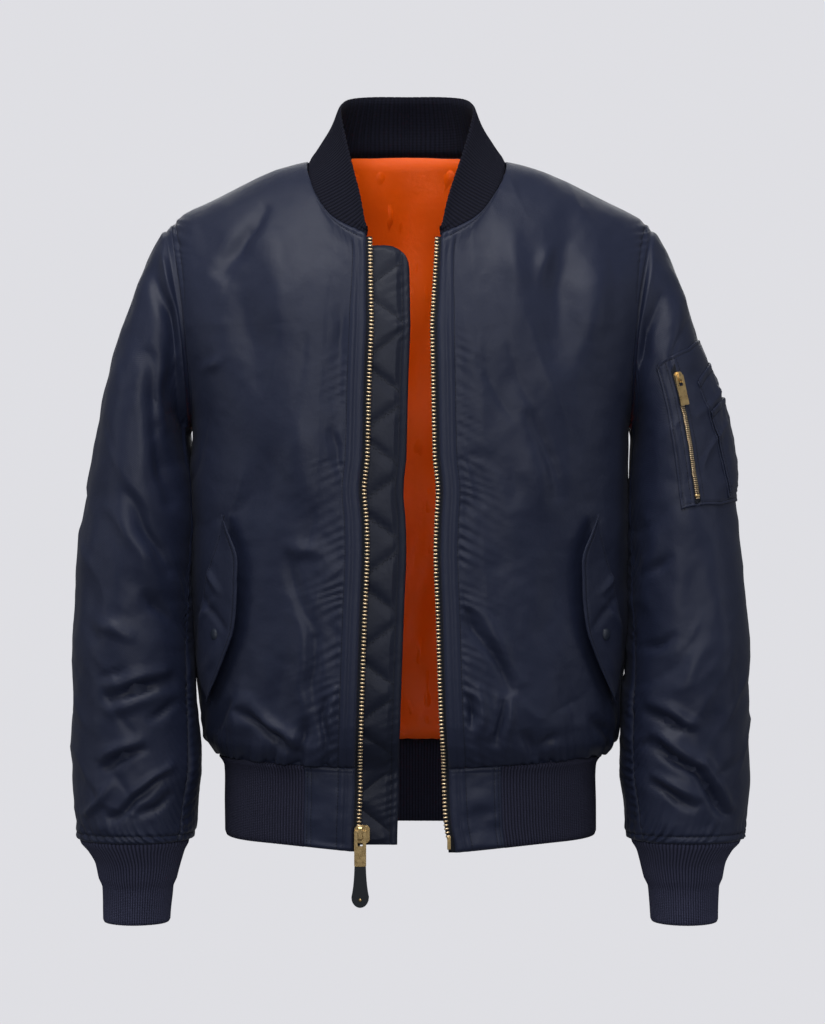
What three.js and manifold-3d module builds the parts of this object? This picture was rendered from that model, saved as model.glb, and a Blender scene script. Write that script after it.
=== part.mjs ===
// A nylon bomber jacket, filled out as if worn, with its front open. Millimetres, +Z up.
// The origin is the middle of the neck opening, level with the tops of the shoulder seams.
// The front faces -Y. Left and right are as seen from the front, so left is -X.
import * as THREE from 'three';
import { mergeVertices } from 'three/addons/utils/BufferGeometryUtils.js';
import Module from 'manifold-3d';

const LEFT = -1;
const RIGHT = 1;
const DEG = Math.PI / 180;

// Driving dimensions
const SHELL = 3.5;
const LINING = 1.4;
const GAP = 0.3;
const KNIT = 3.0;
const CUFF_KNIT = 2.6;
const TAPE = 1.0;
const FLAP_CLOTH = 2.2;
const PATCH = 1.2;
const CHEST_Z = -170;
const UNDERARM_Z = -270;
const WAIST_SEAM_Z = -594;
const WAIST_SEAM_DROP = 7;
const HEM_Z = -672;
const NECK_SHIFT = -3.5;
const PLACKET = 4.5;
const TOOTH_HALF = 2.4;
const EDGE_ARC = 265;
const TAPE_DEPTH = 4.3;
const TAPE_HIDDEN = 6;
const FLAP_REACH = 42;
const FLAP_HIDDEN = 20;
const FLAP_DEPTH = 11.6;
const FLAP_DEPTH_HIDDEN = 5.4;
const FLAP_TOP_W = 0.95;
const FLAP_CORNER = 0.06;
const QUILT_START_Z = -137;
const QUILT_PITCH = 70.5;
const QUILT_RISE = 1.6;
const POCKET_SEAT = 0.7;
const SLEEVE_TAPE = 0.8;
const SLEEVE_TAPE_SEAT = POCKET_SEAT + PATCH + 0.4;
const PEN_SEAT = 0.7;
const POCKET_FLAP_SEAT = 1;
const POCKET_FLAP_OPEN = 4;
const SNAP_OPEN = 0.62;
const SNAP_ALONG = 0.62;
const SNAP_SEAT = 0.9;
const KNIT_START_LEFT = 104;
const KNIT_START_RIGHT = 92;
const COLLAR_BULGE = 4;
const COLLAR_LIFT = 1.5;
const COLLAR_INSET = 2.2;
const WAIST_END_EASE = 0.0003;
const WAIST_RIBS = 80;
const COLLAR_RIBS = 60;
const CUFF_RIBS = 30;
const ARMHOLE = { x: 229.5, y: 2.5, z: CHEST_Z, leanX: 11.5, leanY: 2.5, height: 100, depth: 72, bow: 7 };
const SHOULDER_TIP = { x: 241, y: 5, z: -70 };

// The torso at heights up the side: half width, how far the front and the back stand out, and how
// square its section is
const BODY = [
  { z: -680, half: 185, front: 118, back: 112, square: 1.25 },
  { z: -640, half: 185.5, front: 118.5, back: 112, square: 1.25 },
  { z: -602, half: 186, front: 119, back: 113, square: 1.25 },
  { z: -590, half: 194, front: 125, back: 118, square: 1.25 },
  { z: -577, half: 203, front: 131, back: 124, square: 1.25 },
  { z: -558, half: 209, front: 135, back: 128, square: 1.25 },
  { z: -525, half: 211, front: 137, back: 130, square: 1.25 },
  { z: -480, half: 213.5, front: 137.5, back: 130, square: 1.27 },
  { z: -430, half: 215.8, front: 137, back: 129, square: 1.32 },
  { z: -340, half: 216.8, front: 136, back: 128, square: 1.55 },
  { z: -270, half: 216.8, front: 134, back: 127, square: 1.85 },
  { z: -170, half: 226, front: 128, back: 122, square: 2.1 },
  { z: -139, half: 226, front: 121.3, back: 118, square: 2.1 },
  { z: -107, half: 226, front: 112.8, back: 112, square: 2.1 },
  { z: -82, half: 226, front: 105, back: 106, square: 2.1 },
];

// Distance of each row of zip teeth from the middle, down the open front
const ZIP = [
  { z: -676, left: 50.2, right: 38.5 },
  { z: -654, left: 49.8, right: 34.5 },
  { z: -625, left: 48.6, right: 32.8 },
  { z: -590, left: 48.3, right: 31.7 },
  { z: -555, left: 47.2, right: 29.6 },
  { z: -505, left: 45.6, right: 27.8 },
  { z: -448, left: 43.6, right: 26.2 },
  { z: -396, left: 41.5, right: 24.2 },
  { z: -360, left: 42, right: 25 },
  { z: -331, left: 44.3, right: 26.4 },
  { z: -300, left: 41.3, right: 23.4 },
  { z: -229, left: 39.6, right: 22 },
  { z: -150, left: 37, right: 20.8 },
  { z: -110, left: 38, right: 22 },
  { z: -82, left: 39, right: 25.6 },
];

// Half of the neck seam, from the middle of the back (row 0) past the shoulder (row 4) to the front
const NECK = [
  { x: 0, y: 75, z: 14 },
  { x: 42, y: 70, z: 13 },
  { x: 76, y: 50, z: 9.5 },
  { x: 94, y: 22, z: 4 },
  { x: 98.5, y: 0, z: -2 },
  { x: 98, y: -28, z: -15 },
  { x: 91, y: -60, z: -36 },
  { x: 73, y: -88, z: -63 },
  { x: 40, y: -105, z: -82 },
];
const SHOULDER_ROW = 4;
const NECK_END_ROW = 8;

// Half of the collar's top edge, over the same rows
const COLLAR_TOP = [
  { x: 0, y: 60, z: 70 },
  { x: 36, y: 57, z: 69.5 },
  { x: 59, y: 40, z: 65 },
  { x: 67, y: 14, z: 56 },
  { x: 67.5, y: -8, z: 44 },
  { x: 62, y: -32, z: 18 },
  { x: 54, y: -58, z: -14 },
  { x: 46, y: -82, z: -46 },
  { x: 40.5, y: -103, z: -78 },
];

// How far the cloth stands out from, and drops below, the top boundary of each panel
const FRONT_SHOULDER = [
  { u: 0, out: 13, drop: 36 },
  { u: 0.1, out: 32, drop: 28 },
  { u: 0.18, out: 59, drop: 22 },
  { u: 0.24, out: 81, drop: 15 },
  { u: 0.3, out: 100, drop: 9 },
  { u: 0.65, out: 90, drop: 4 },
  { u: 1, out: 74.5, drop: 0 },
];
const BACK_SHOULDER = [
  { u: 0, out: 37, drop: 44 },
  { u: 0.2, out: 52, drop: 34 },
  { u: 0.38, out: 95, drop: 14 },
  { u: 0.7, out: 84, drop: 5 },
  { u: 1, out: 72, drop: 0 },
];
const FRONT_NECK_U = 0.3;
const BACK_NECK_U = 0.38;

// Sleeve rings from the armhole down: outer and inner points, half depth and middle depth
const SLEEVE = [
  { outX: 241, outZ: -70, inX: 218, inZ: -270, depth: 72, midY: 2.5 },
  { outX: 255, outZ: -95, inX: 221, inZ: -277, depth: 73.5, midY: 0 },
  { outX: 272, outZ: -131, inX: 222, inZ: -290, depth: 75, midY: -3 },
  { outX: 289, outZ: -185, inX: 222, inZ: -312, depth: 76, midY: -6 },
  { outX: 303, outZ: -235, inX: 221.5, inZ: -340, depth: 76, midY: -9 },
  { outX: 313, outZ: -282, inX: 221, inZ: -368, depth: 75, midY: -12 },
  { outX: 323, outZ: -340, inX: 220.5, inZ: -405, depth: 74, midY: -15 },
  { outX: 329.5, outZ: -392, inX: 220, inZ: -442, depth: 73, midY: -18 },
  { outX: 334, outZ: -446, inX: 218, inZ: -482, depth: 72, midY: -20 },
  { outX: 336.5, outZ: -500, inX: 216, inZ: -524, depth: 70, midY: -22 },
  { outX: 337, outZ: -550, inX: 214, inZ: -566, depth: 68, midY: -24 },
  { outX: 336, outZ: -596, inX: 214, inZ: -606, depth: 66.5, midY: -25 },
  { outX: 334, outZ: -636, inX: 215.5, inZ: -640, depth: 65, midY: -26 },
  { outX: 332, outZ: -664, inX: 216, inZ: -665, depth: 64, midY: -26 },
  { outX: 328.5, outZ: -676, inX: 219, inZ: -676, depth: 61.5, midY: -26 },
];
// Where the two long sleeve seams run, in degrees round each ring from its outer point
const SLEEVE_SEAMS = [
  { t: 0, front: 160, back: 240 },
  { t: 0.5, front: 156, back: 238 },
  { t: 0.8, front: 147, back: 238 },
  { t: 1, front: 142, back: 238 },
];

// Cuff rings below the sleeve
const CUFF = [
  { z: -676.4, outX: 327.8, inX: 219.7, depth: 60.8 },
  { z: -686, outX: 321.5, inX: 224.5, depth: 55 },
  { z: -698, outX: 316, inX: 229.5, depth: 48 },
  { z: -714, outX: 312.5, inX: 233.5, depth: 44 },
  { z: -722, outX: 308.8, inX: 237.3, depth: 41 },
  { z: -764.5, outX: 307.6, inX: 240, depth: 39.5 },
];
const CUFF_MID_Y = -26;

// A pocket flap as seen from the front, from its top tip to its bottom tip: the sewn edge nearer the
// side seam and the free edge that lifts
const POCKET_FLAP = [
  { sewnX: 182.5, sewnZ: -357, freeX: 180, freeZ: -356 },
  { sewnX: 188, sewnZ: -381, freeX: 173, freeZ: -376 },
  { sewnX: 194, sewnZ: -402, freeX: 167.5, freeZ: -394 },
  { sewnX: 199, sewnZ: -425, freeX: 167.5, freeZ: -418 },
  { sewnX: 203.5, sewnZ: -452, freeX: 168.7, freeZ: -445 },
  { sewnX: 206.5, sewnZ: -476, freeX: 172, freeZ: -468 },
  { sewnX: 207.5, sewnZ: -498, freeX: 180, freeZ: -490 },
  { sewnX: 204.5, sewnZ: -517, freeX: 188, freeZ: -514 },
  { sewnX: 197.5, sewnZ: -538, freeX: 195, freeZ: -538 },
];

// The zip pocket on the right sleeve: its top and bottom edges down the sleeve, at lines round it
// that are numbered as the columns of the sleeve's top piece
const SLEEVE_POCKET = [
  { line: 4, top: 0.205, bottom: 0.43 },
  { line: 6, top: 0.208, bottom: 0.43 },
  { line: 8, top: 0.19, bottom: 0.42 },
  { line: 9, top: 0.165, bottom: 0.405 },
  { line: 10, top: 0.13, bottom: 0.392 },
];
const SLEEVE_ZIP = { line: 9.2, halfLine: 0.14, top: 0.176, bottom: 0.398, sliderT: 0.192 };
// The two open pen pockets on it, with the line of their front edge at the top and at the bottom
const PEN_POCKETS = [
  { name: 'pen_pocket_tall', top: 0.24, bottom: 0.418, frontTop: 8, frontBottom: 7.45 },
  { name: 'pen_pocket_short', top: 0.292, bottom: 0.412, frontTop: 7.75, frontBottom: 7.4 },
];
const PEN_BACK_LINE = 4;
const PEN_BULGE = 5;

// The two zip sliders and their pulls: x across, z up from the hinge, y into the garment
const FRONT_SLIDER = {
  width: 14.8, shift: 1.7, top: 5.8, bottom: -10.8, face: 2.4, plate: 1.9, web: 5.2, webWidth: 1.2, back: 1.6,
  bailWidth: 3.4, bailTop: 5.7, bailBottom: -7.8, bailOut: -3.4, holeTop: 2.7, holeBottom: -4.3, holeOut: -1.7,
};
const SLEEVE_SLIDER = {
  width: 8, shift: 0, top: 4.6, bottom: -6.4, face: 1.9, plate: 1.4, web: 0, webWidth: 0, back: 0,
  bailWidth: 2.6, bailTop: 4.4, bailBottom: -5.2, bailOut: -2.9, holeTop: 2.2, holeBottom: -3.2, holeOut: -1.5,
};
const FRONT_PULL = {
  width: 11.5, top: 1.2, bottom: -33, thick: 1.6, slotWidth: 4.9, slotTop: -1.2, slotBottom: -13.5,
};
const SLEEVE_PULL = {
  width: 8.5, top: 1, bottom: -29, thick: 1.4, slotWidth: 3.9, slotTop: -1, slotBottom: -10,
};
const GRIP = { top: -33.3, bottom: -72.5, neck: 11, widest: 16.9, widestZ: -62.5, thick: 4 };
const FRONT_HINGE = { x: -48.2, y: -120.8, z: -659.2 };
const ZIP_PIN = { width: 3.4, depth: 2.3, top: -664, bottom: -676.5 };

// Largest folds. u and v are the place on the piece, turn is in degrees from straight up,
// long and wide are in mm, and rise is how far it stands out (troughs are below zero)
const FRONT_FOLDS = [
  { u: 0.34, v: 0.1, turn: 6, long: 60, wide: 22, rise: -6 },
  { u: 0.56, v: 0.12, turn: -8, long: 70, wide: 26, rise: 5 },
  { u: 0.78, v: 0.1, turn: 12, long: 55, wide: 24, rise: -5 },
  { u: 0.34, v: 0.32, turn: 14, long: 120, wide: 30, rise: -4 },
  { u: 0.6, v: 0.55, turn: -16, long: 80, wide: 32, rise: 4 },
  { u: 0.45, v: 0.72, turn: 24, long: 110, wide: 34, rise: -3 },
];
const BACK_FOLDS = [
  { u: -0.62, v: 0.1, turn: 8, long: 60, wide: 24, rise: -6 },
  { u: -0.3, v: 0.12, turn: -6, long: 70, wide: 28, rise: 5 },
  { u: 0.02, v: 0.1, turn: 4, long: 60, wide: 26, rise: -5 },
  { u: 0.34, v: 0.11, turn: 9, long: 70, wide: 26, rise: 5 },
  { u: 0.66, v: 0.1, turn: -9, long: 55, wide: 24, rise: -6 },
  { u: -0.45, v: 0.45, turn: -18, long: 140, wide: 36, rise: -4 },
  { u: 0.48, v: 0.5, turn: 16, long: 140, wide: 36, rise: 4 },
];
const SLEEVE_FOLDS = [
  { u: 100, v: 0.5, turn: 38, long: 60, wide: 20, rise: -5 },
  { u: 62, v: 0.55, turn: -30, long: 70, wide: 22, rise: 5 },
  { u: 118, v: 0.6, turn: 48, long: 60, wide: 20, rise: -6 },
  { u: 85, v: 0.63, turn: 36, long: 80, wide: 22, rise: 5 },
  { u: 112, v: 0.72, turn: 50, long: 62, wide: 20, rise: -6 },
  { u: 60, v: 0.8, turn: 32, long: 70, wide: 24, rise: 5 },
  { u: 20, v: 0.9, turn: 10, long: 50, wide: 22, rise: -4 },
  { u: 300, v: 0.6, turn: -34, long: 80, wide: 26, rise: -5 },
  { u: 280, v: 0.78, turn: 30, long: 70, wide: 24, rise: 5 },
  { u: 326, v: 0.58, turn: 20, long: 70, wide: 26, rise: -4 },
];

const COLOURS = {
  nylon: { color: 0x222a3a, roughness: 0.5, metalness: 0 },
  knit: { color: 0x181c28, roughness: 0.85, metalness: 0 },
  lining: { color: 0xd8560f, roughness: 0.5, metalness: 0 },
  brass: { color: 0xb8945a, roughness: 0.35, metalness: 1 },
  tape: { color: 0x10131b, roughness: 0.9, metalness: 0 },
  rubber: { color: 0x15181d, roughness: 0.6, metalness: 0 },
  snap: { color: 0x1b2230, roughness: 0.4, metalness: 0 },
};

const point = (x, y, z) => new THREE.Vector3(x, y, z);
const mix = (a, b, t) => a + (b - a) * t;
const clamp01 = (t) => Math.min(1, Math.max(0, t));
const smooth = (t) => clamp01(t) * clamp01(t) * (3 - 2 * clamp01(t));
const steps = (n) => Array.from({ length: n + 1 }, (_, i) => i / n);

// A smooth curve through four values, at t between the middle two
function spline(a, b, c, d, t) {
  const slopeB = (c - a) / 2;
  const slopeC = (d - b) / 2;
  const t2 = t * t;
  const t3 = t2 * t;
  return (2 * t3 - 3 * t2 + 1) * b + (t3 - 2 * t2 + t) * slopeB
    + (3 * t2 - 2 * t3) * c + (t3 - t2) * slopeC;
}

// A column of a table at a row number that may lie between two rows
function atRow(table, column, row) {
  const last = table.length - 1;
  const low = Math.min(last - 1, Math.max(0, Math.floor(row)));
  const pick = (i) => table[Math.min(last, Math.max(0, i))][column];
  return spline(pick(low - 1), pick(low), pick(low + 1), pick(low + 2), clamp01(row - low));
}

// A column of a table at a value of its key column, whose rows are in rising order
function atKey(table, key, column, value) {
  let low = 0;
  while (low < table.length - 2 && table[low + 1][key] < value) low += 1;
  const span = table[low + 1][key] - table[low][key];
  return atRow(table, column, low + clamp01((value - table[low][key]) / span));
}

// Height of soft folds at a place given in mm from each fold's middle
function foldHeight(folds, across, along) {
  let height = 0;
  for (const fold of folds) {
    const a = across(fold);
    const b = along(fold);
    const side = a * Math.cos(fold.turn * DEG) - b * Math.sin(fold.turn * DEG);
    const up = a * Math.sin(fold.turn * DEG) + b * Math.cos(fold.turn * DEG);
    height += fold.rise * Math.exp(-((side / fold.wide) ** 2) - (up / fold.long) ** 2);
  }
  return height;
}

// The armhole seam, in degrees from the shoulder tip, past the front and the underarm
function armhole(angle) {
  const c = Math.cos(angle * DEG);
  const s = Math.sin(angle * DEG);
  return point(
    ARMHOLE.x + ARMHOLE.leanX * c - ARMHOLE.bow * s * s,
    ARMHOLE.y + ARMHOLE.leanY * c - ARMHOLE.depth * s,
    ARMHOLE.z + ARMHOLE.height * c,
  );
}

// Where a torso row ends above the underarm: the armhole seam at that height
function armholeAt(z, facing) {
  const angle = Math.acos(Math.max(-1, Math.min(1, (z - ARMHOLE.z) / ARMHOLE.height))) / DEG;
  return armhole(facing < 0 ? angle : 360 - angle);
}

const edgeX = (side, z) => atKey(ZIP, 'z', side === LEFT ? 'left' : 'right', z) + PLACKET;

// A torso row from its middle or zip edge (u = 0) to the side seam or the armhole (u = 1)
function bodyRow(side, facing, u, z) {
  const start = facing < 0 ? edgeX(side, z) : 0;
  const depth = atKey(BODY, 'z', facing < 0 ? 'front' : 'back', z);
  const half = atKey(BODY, 'z', 'half', z);
  const power = atKey(BODY, 'z', 'square', z);
  const curve = (angle) => point(
    start + (half - start) * Math.sin(angle),
    facing * depth * (1 - (1 - Math.cos(angle)) ** power),
    z,
  );
  if (z <= UNDERARM_Z) {
    const p = curve(u * 90 * DEG);
    p.x *= side;
    return p;
  }
  const end = armholeAt(z, facing);
  const last = Math.acos(1 - (1 - Math.abs(end.y) / depth) ** (1 / power));
  const p = curve(u * last);
  p.addScaledVector(end.sub(curve(last)), u ** 3);
  p.x *= side;
  return p;
}

function waistSeamZ(x, facing) {
  return facing < 0 ? WAIST_SEAM_Z - WAIST_SEAM_DROP * (1 - Math.abs(x) / 187) : WAIST_SEAM_Z;
}

// The neck seam on one side, at a row of its table
function neckSeam(side, row, table = NECK) {
  const end = smooth((row - SHOULDER_ROW) / (NECK_END_ROW - SHOULDER_ROW));
  const narrower = side === RIGHT ? 6 * end : 0;
  const x = side * (atRow(table, 'x', row) - narrower) + NECK_SHIFT;
  return point(x, atRow(table, 'y', row), atRow(table, 'z', row));
}

// The top boundary of a panel: the neck seam, then the shoulder seam
function panelTop(side, facing, u) {
  const neckU = facing < 0 ? FRONT_NECK_U : BACK_NECK_U;
  if (u <= neckU) {
    const row = facing < 0 ? mix(NECK_END_ROW, SHOULDER_ROW, u / neckU) : SHOULDER_ROW * u / neckU;
    return neckSeam(side, row);
  }
  const w = (u - neckU) / (1 - neckU);
  const start = neckSeam(side, SHOULDER_ROW);
  const crown = 5 * Math.sin(Math.PI * w);
  return point(mix(start.x, side * SHOULDER_TIP.x, w), mix(start.y, SHOULDER_TIP.y, w),
    mix(start.z, SHOULDER_TIP.z, w) + crown);
}

const UNDERARM_V = 0.5;
const CHEST_V = 0.75;
const LOW_ROWS_POWER = 1.5;

// A point of a front (facing -1) or of half the back (facing 1), before folds
function panelPoint(side, facing, u, v) {
  if (v <= CHEST_V) {
    const seamX = bodyRow(side, facing, u, WAIST_SEAM_Z).x;
    const low = waistSeamZ(seamX, facing) + GAP / 2;
    const z = v < UNDERARM_V
      ? mix(low, UNDERARM_Z, (v / UNDERARM_V) ** LOW_ROWS_POWER)
      : CHEST_Z - ARMHOLE.height * Math.cos((v - UNDERARM_V) / (CHEST_V - UNDERARM_V) * 90 * DEG);
    return bodyRow(side, facing, u, z);
  }
  const turn = (v - CHEST_V) / (1 - CHEST_V) * 90 * DEG;
  const over = (uu) => {
    const chest = bodyRow(side, facing, uu, CHEST_Z);
    const top = panelTop(side, facing, uu);
    const table = facing < 0 ? FRONT_SHOULDER : BACK_SHOULDER;
    const knee = top.clone();
    knee.x = mix(top.x, chest.x, 0.35);
    knee.y += facing * atKey(table, 'u', 'out', uu);
    knee.z -= atKey(table, 'u', 'drop', uu);
    return chest.clone().addScaledVector(knee.clone().sub(chest), Math.sin(turn))
      .addScaledVector(top.clone().sub(knee), 1 - Math.cos(turn));
  };
  const seam = armhole(facing < 0 ? 90 - turn / DEG : 270 + turn / DEG);
  seam.x *= side;
  return over(u).addScaledVector(seam.sub(over(1)), u ** 4);
}

// The cloth of a front, its outer seams eased back by half a gap
function frontSurface(side) {
  return (u, v) => {
    const p = panelPoint(side, -1, u, v);
    p.y -= GAP / 2;
    return p;
  };
}

// The cloth of the back, u from -1 at the left to 1 at the right
function backSurface(u, v) {
  const p = panelPoint(u < 0 ? LEFT : RIGHT, 1, Math.abs(u), v);
  p.y += GAP / 2;
  return p;
}

// The outward normal of a surface, from small steps either way
function normalAt(surface, u, v, range) {
  const h = 1e-3;
  const u0 = Math.max(range.u0, u - h);
  const u1 = Math.min(range.u1, u + h);
  const v0 = Math.max(range.v0, v - h);
  const v1 = Math.min(range.v1, v + h);
  const along = surface(u1, v).sub(surface(u0, v));
  const up = surface(u, v1).sub(surface(u, v0));
  return along.cross(up).normalize().multiplyScalar(range.out);
}

// A grid of points on a surface, each moved out by the height that lift gives
function grid(surface, range, columns, rows, lift, flatten) {
  return rows.map((v) => columns.map((u) => {
    const normal = normalAt(surface, u, v, range);
    if (flatten) flatten(normal, u, v);
    return surface(u, v).addScaledVector(normal.normalize(), lift(u, v));
  }));
}

function addGrid(faces, rows, flip) {
  for (let r = 0; r < rows.length - 1; r += 1) {
    for (let c = 0; c < rows[r].length - 1; c += 1) {
      const [a, b, d, e] = [rows[r][c], rows[r][c + 1], rows[r + 1][c + 1], rows[r + 1][c]];
      if (flip) faces.push(a, d, b, a, e, d);
      else faces.push(a, b, d, a, d, e);
    }
  }
}

// Triangles between two edges that may have different numbers of points
function stitch(faces, first, second) {
  let i = 0;
  let j = 0;
  const m = first.length - 1;
  const n = second.length - 1;
  while (i < m || j < n) {
    if (j === n || (i < m && (i + 1) / m <= (j + 1) / n)) {
      faces.push(first[i + 1], first[i], second[j]);
      i += 1;
    } else {
      faces.push(second[j], second[j + 1], first[i]);
      j += 1;
    }
  }
}

// One closed body between an outer and an inner grid of points; a tube's columns close on themselves
function closedWall(outer, inner, tube = false) {
  const points = [];
  const faces = [];
  const place = (rows) => rows.map((row) => {
    const numbers = row.map((p) => points.push(p) - 1);
    if (tube) numbers.push(numbers[0]);
    return numbers;
  });
  const out = place(outer);
  const inn = place(inner);
  addGrid(faces, out, false);
  addGrid(faces, inn, true);
  stitch(faces, out[0], inn[0]);
  stitch(faces, out.at(-1).slice().reverse(), inn.at(-1).slice().reverse());
  if (!tube) {
    stitch(faces, out.map((row) => row[0]).reverse(), inn.map((row) => row[0]).reverse());
    stitch(faces, out.map((row) => row.at(-1)), inn.map((row) => row.at(-1)));
  }
  return solidGeometry(points, faces);
}

// A geometry whose faces point outwards, from points and corner numbers
function solidGeometry(points, faces) {
  let volume = 0;
  for (let i = 0; i < faces.length; i += 3) {
    const [a, b, c] = [points[faces[i]], points[faces[i + 1]], points[faces[i + 2]]];
    volume += a.dot(b.clone().cross(c));
  }
  if (volume < 0) faces.reverse();
  const geometry = new THREE.BufferGeometry();
  const values = points.flatMap((p) => [p.x, p.y, p.z]);
  geometry.setAttribute('position', new THREE.Float32BufferAttribute(values, 3));
  geometry.setIndex(faces);
  return geometry;
}

const jacket = new THREE.Group();

function add(name, geometry, colour) {
  const mesh = new THREE.Mesh(geometry, new THREE.MeshStandardMaterial(COLOURS[colour]));
  mesh.name = name;
  jacket.add(mesh);
}

// A wall on a surface: its outer face lies depth below the surface and follows the same folds
function layer(surface, range, columns, rows, depth, thickness, folds = () => 0, flatten = null) {
  const outer = grid(surface, range, columns, rows, (u, v) => folds(u, v) - depth, flatten);
  const inner = grid(surface, range, columns, rows, (u, v) => folds(u, v) - depth - thickness, flatten);
  return closedWall(outer, inner);
}

// At the side and shoulder seams the cloth's edge is square to the seam
function squareSeams(neckU) {
  return (normal, u, v) => {
    const side = Math.abs(u) > 0.99 && v < UNDERARM_V + 0.01;
    const shoulder = v > 0.97 && Math.abs(u) > neckU - 0.01;
    if (side || shoulder) normal.y = 0;
    if (v < 0.01) normal.z = 0;
  };
}

// At the waist seam the band's cloth edge is level
function levelTop(normal, u, v) {
  if (v > 0.99) normal.z = 0;
}

const FRONT_WIDTH = 210;
const PANEL_HEIGHT = 560;
const BACK_HALF = 240;

function panelFolds(table, width) {
  return (u, v) => {
    const calm = smooth((Math.abs(u) - 0.16) / 0.14) * smooth((1 - Math.abs(u)) / 0.15);
    const edges = table === BACK_FOLDS ? smooth((1 - Math.abs(u)) / 0.15) : calm;
    const ends = smooth(v / 0.04) * smooth((0.97 - v) / 0.12);
    const height = foldHeight(table, (f) => (u - f.u) * width, (f) => (v - f.v) * PANEL_HEIGHT);
    return height * edges * ends;
  };
}

// Grid lines that a panel and its lining share, so that their faces lie side by side
const LOW_ROWS = [0.03, 0.08, 0.14, 0.2, 0.27, 0.35, 0.43, 0.5];
const HIGH_ROWS = [0.5625, 0.625, 0.6875, 0.75, 0.8125, 0.875, 0.925, 0.965];
const LINING_ROWS = [...LOW_ROWS, ...HIGH_ROWS];
const PANEL_ROWS = [0, ...LINING_ROWS, 1];
const LINING_FRONT_COLUMNS = [0.11, 0.17, 0.235, 0.3, 0.4, 0.5, 0.6, 0.7, 0.8, 0.9, 0.985];
const FRONT_COLUMNS = [0, 0.05, ...LINING_FRONT_COLUMNS, 1];
const HALF_BACK_LINES = [0.095, 0.19, 0.285, 0.38, 0.5, 0.62, 0.74, 0.86, 0.985];
const BACK_LINES = [...HALF_BACK_LINES.map((u) => -u).reverse(), 0, ...HALF_BACK_LINES];
const BACK_COLUMNS = [-1, ...BACK_LINES, 1];

const frontFolds = panelFolds(FRONT_FOLDS, FRONT_WIDTH);
const backFolds = panelFolds(BACK_FOLDS, BACK_HALF);
const SIDES = [{ side: LEFT, word: 'left' }, { side: RIGHT, word: 'right' }];

function addFronts() {
  for (const { side, word } of SIDES) {
    const range = { u0: 0, u1: 1, v0: 0, v1: 1, out: side };
    const surface = frontSurface(side);
    const shell = layer(surface, range, FRONT_COLUMNS, PANEL_ROWS, 0, SHELL, frontFolds,
      squareSeams(FRONT_NECK_U));
    const inside = SHELL + GAP;
    const lining = layer(surface, range, LINING_FRONT_COLUMNS, LINING_ROWS, inside, LINING, frontFolds);
    add(`front_${word}`, shell, 'nylon');
    add(`lining_front_${word}`, lining, 'lining');
  }
}

function addBack() {
  const range = { u0: -1, u1: 1, v0: 0, v1: 1, out: -1 };
  const shell = layer(backSurface, range, BACK_COLUMNS, PANEL_ROWS, 0, SHELL, backFolds,
    squareSeams(BACK_NECK_U));
  const lining = layer(backSurface, range, BACK_LINES, LINING_ROWS, SHELL + GAP, LINING, backFolds);
  add('back', shell, 'nylon');
  add('lining_back', lining, 'lining');
}

// A point of a sleeve: angle in degrees round the ring from its outer point past the front, t down
// the sleeve from the armhole
function sleevePoint(side, angle, t) {
  const row = t * (SLEEVE.length - 1);
  const at = (column) => atRow(SLEEVE, column, row);
  const c = Math.cos(angle * DEG);
  const s = Math.sin(angle * DEG);
  const bow = ARMHOLE.bow * clamp01(1 - row / 3);
  const lean = ARMHOLE.leanY * clamp01(1 - row / 3);
  return point(
    side * (mix(at('inX'), at('outX'), (1 + c) / 2) - bow * s * s + GAP),
    at('midY') + lean * c - at('depth') * s,
    mix(at('inZ'), at('outZ'), (1 + c) / 2),
  );
}

const SLEEVE_LENGTH = 610;
const SLEEVE_RADIUS = 68;

function sleeveFolds(side, angle, t) {
  const wrap = (a) => ((a + 540) % 360 - 180) * DEG * SLEEVE_RADIUS;
  const start = side === RIGHT ? smooth((t - 0.43) / 0.1) : smooth(t / 0.12);
  const ends = start * smooth((0.985 - t) / 0.06);
  const clear = smooth((Math.abs(((angle % 360) + 360) % 360 - 190) - 35) / 30);
  return ends * clear * foldHeight(SLEEVE_FOLDS, (f) => wrap(angle - f.u), (f) => (f.v - t) * SLEEVE_LENGTH);
}

const seamAngle = (which, t) => atKey(SLEEVE_SEAMS, 't', which, t);
const SEAM_EASE = 0.16;
const SLEEVE_ROWS = steps(14);
const TOP_COLUMNS = 13;

// The angle of a place on the sleeve's top piece, u from its back seam to its front seam
const topAngle = (u, t) => mix(seamAngle('back', t) - 360 + SEAM_EASE, seamAngle('front', t) - SEAM_EASE, u);

function addSleeves() {
  for (const { side, word } of SIDES) {
    const topStart = (t) => seamAngle('back', t) - 360;
    const pieces = [
      { name: 'top', columns: TOP_COLUMNS, from: topStart, to: (t) => seamAngle('front', t) },
      { name: 'under', columns: 5, from: (t) => seamAngle('front', t), to: (t) => seamAngle('back', t) },
    ];
    for (const piece of pieces) {
      const angleAt = (u, t) => mix(piece.from(t) + SEAM_EASE, piece.to(t) - SEAM_EASE, u);
      const surface = (u, t) => sleevePoint(side, angleAt(u, t), t);
      const range = { u0: 0, u1: 1, v0: 0, v1: 1, out: side };
      const folds = (u, t) => sleeveFolds(side, angleAt(u, t), t);
      const wall = layer(surface, range, steps(piece.columns), SLEEVE_ROWS, 0, SHELL, folds, sleeveEnds);
      add(`sleeve_${word}_${piece.name}`, wall, 'nylon');
    }
  }
}

// At the armhole and the cuff the sleeve's cloth edge is square to the seam
function sleeveEnds(normal, u, t) {
  if (t > 0.999) normal.z = 0;
  if (t > 0) return;
  const across = (normal.x * ARMHOLE.height - normal.z * ARMHOLE.leanX) / ARMHOLE.height;
  normal.x -= across;
}

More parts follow.
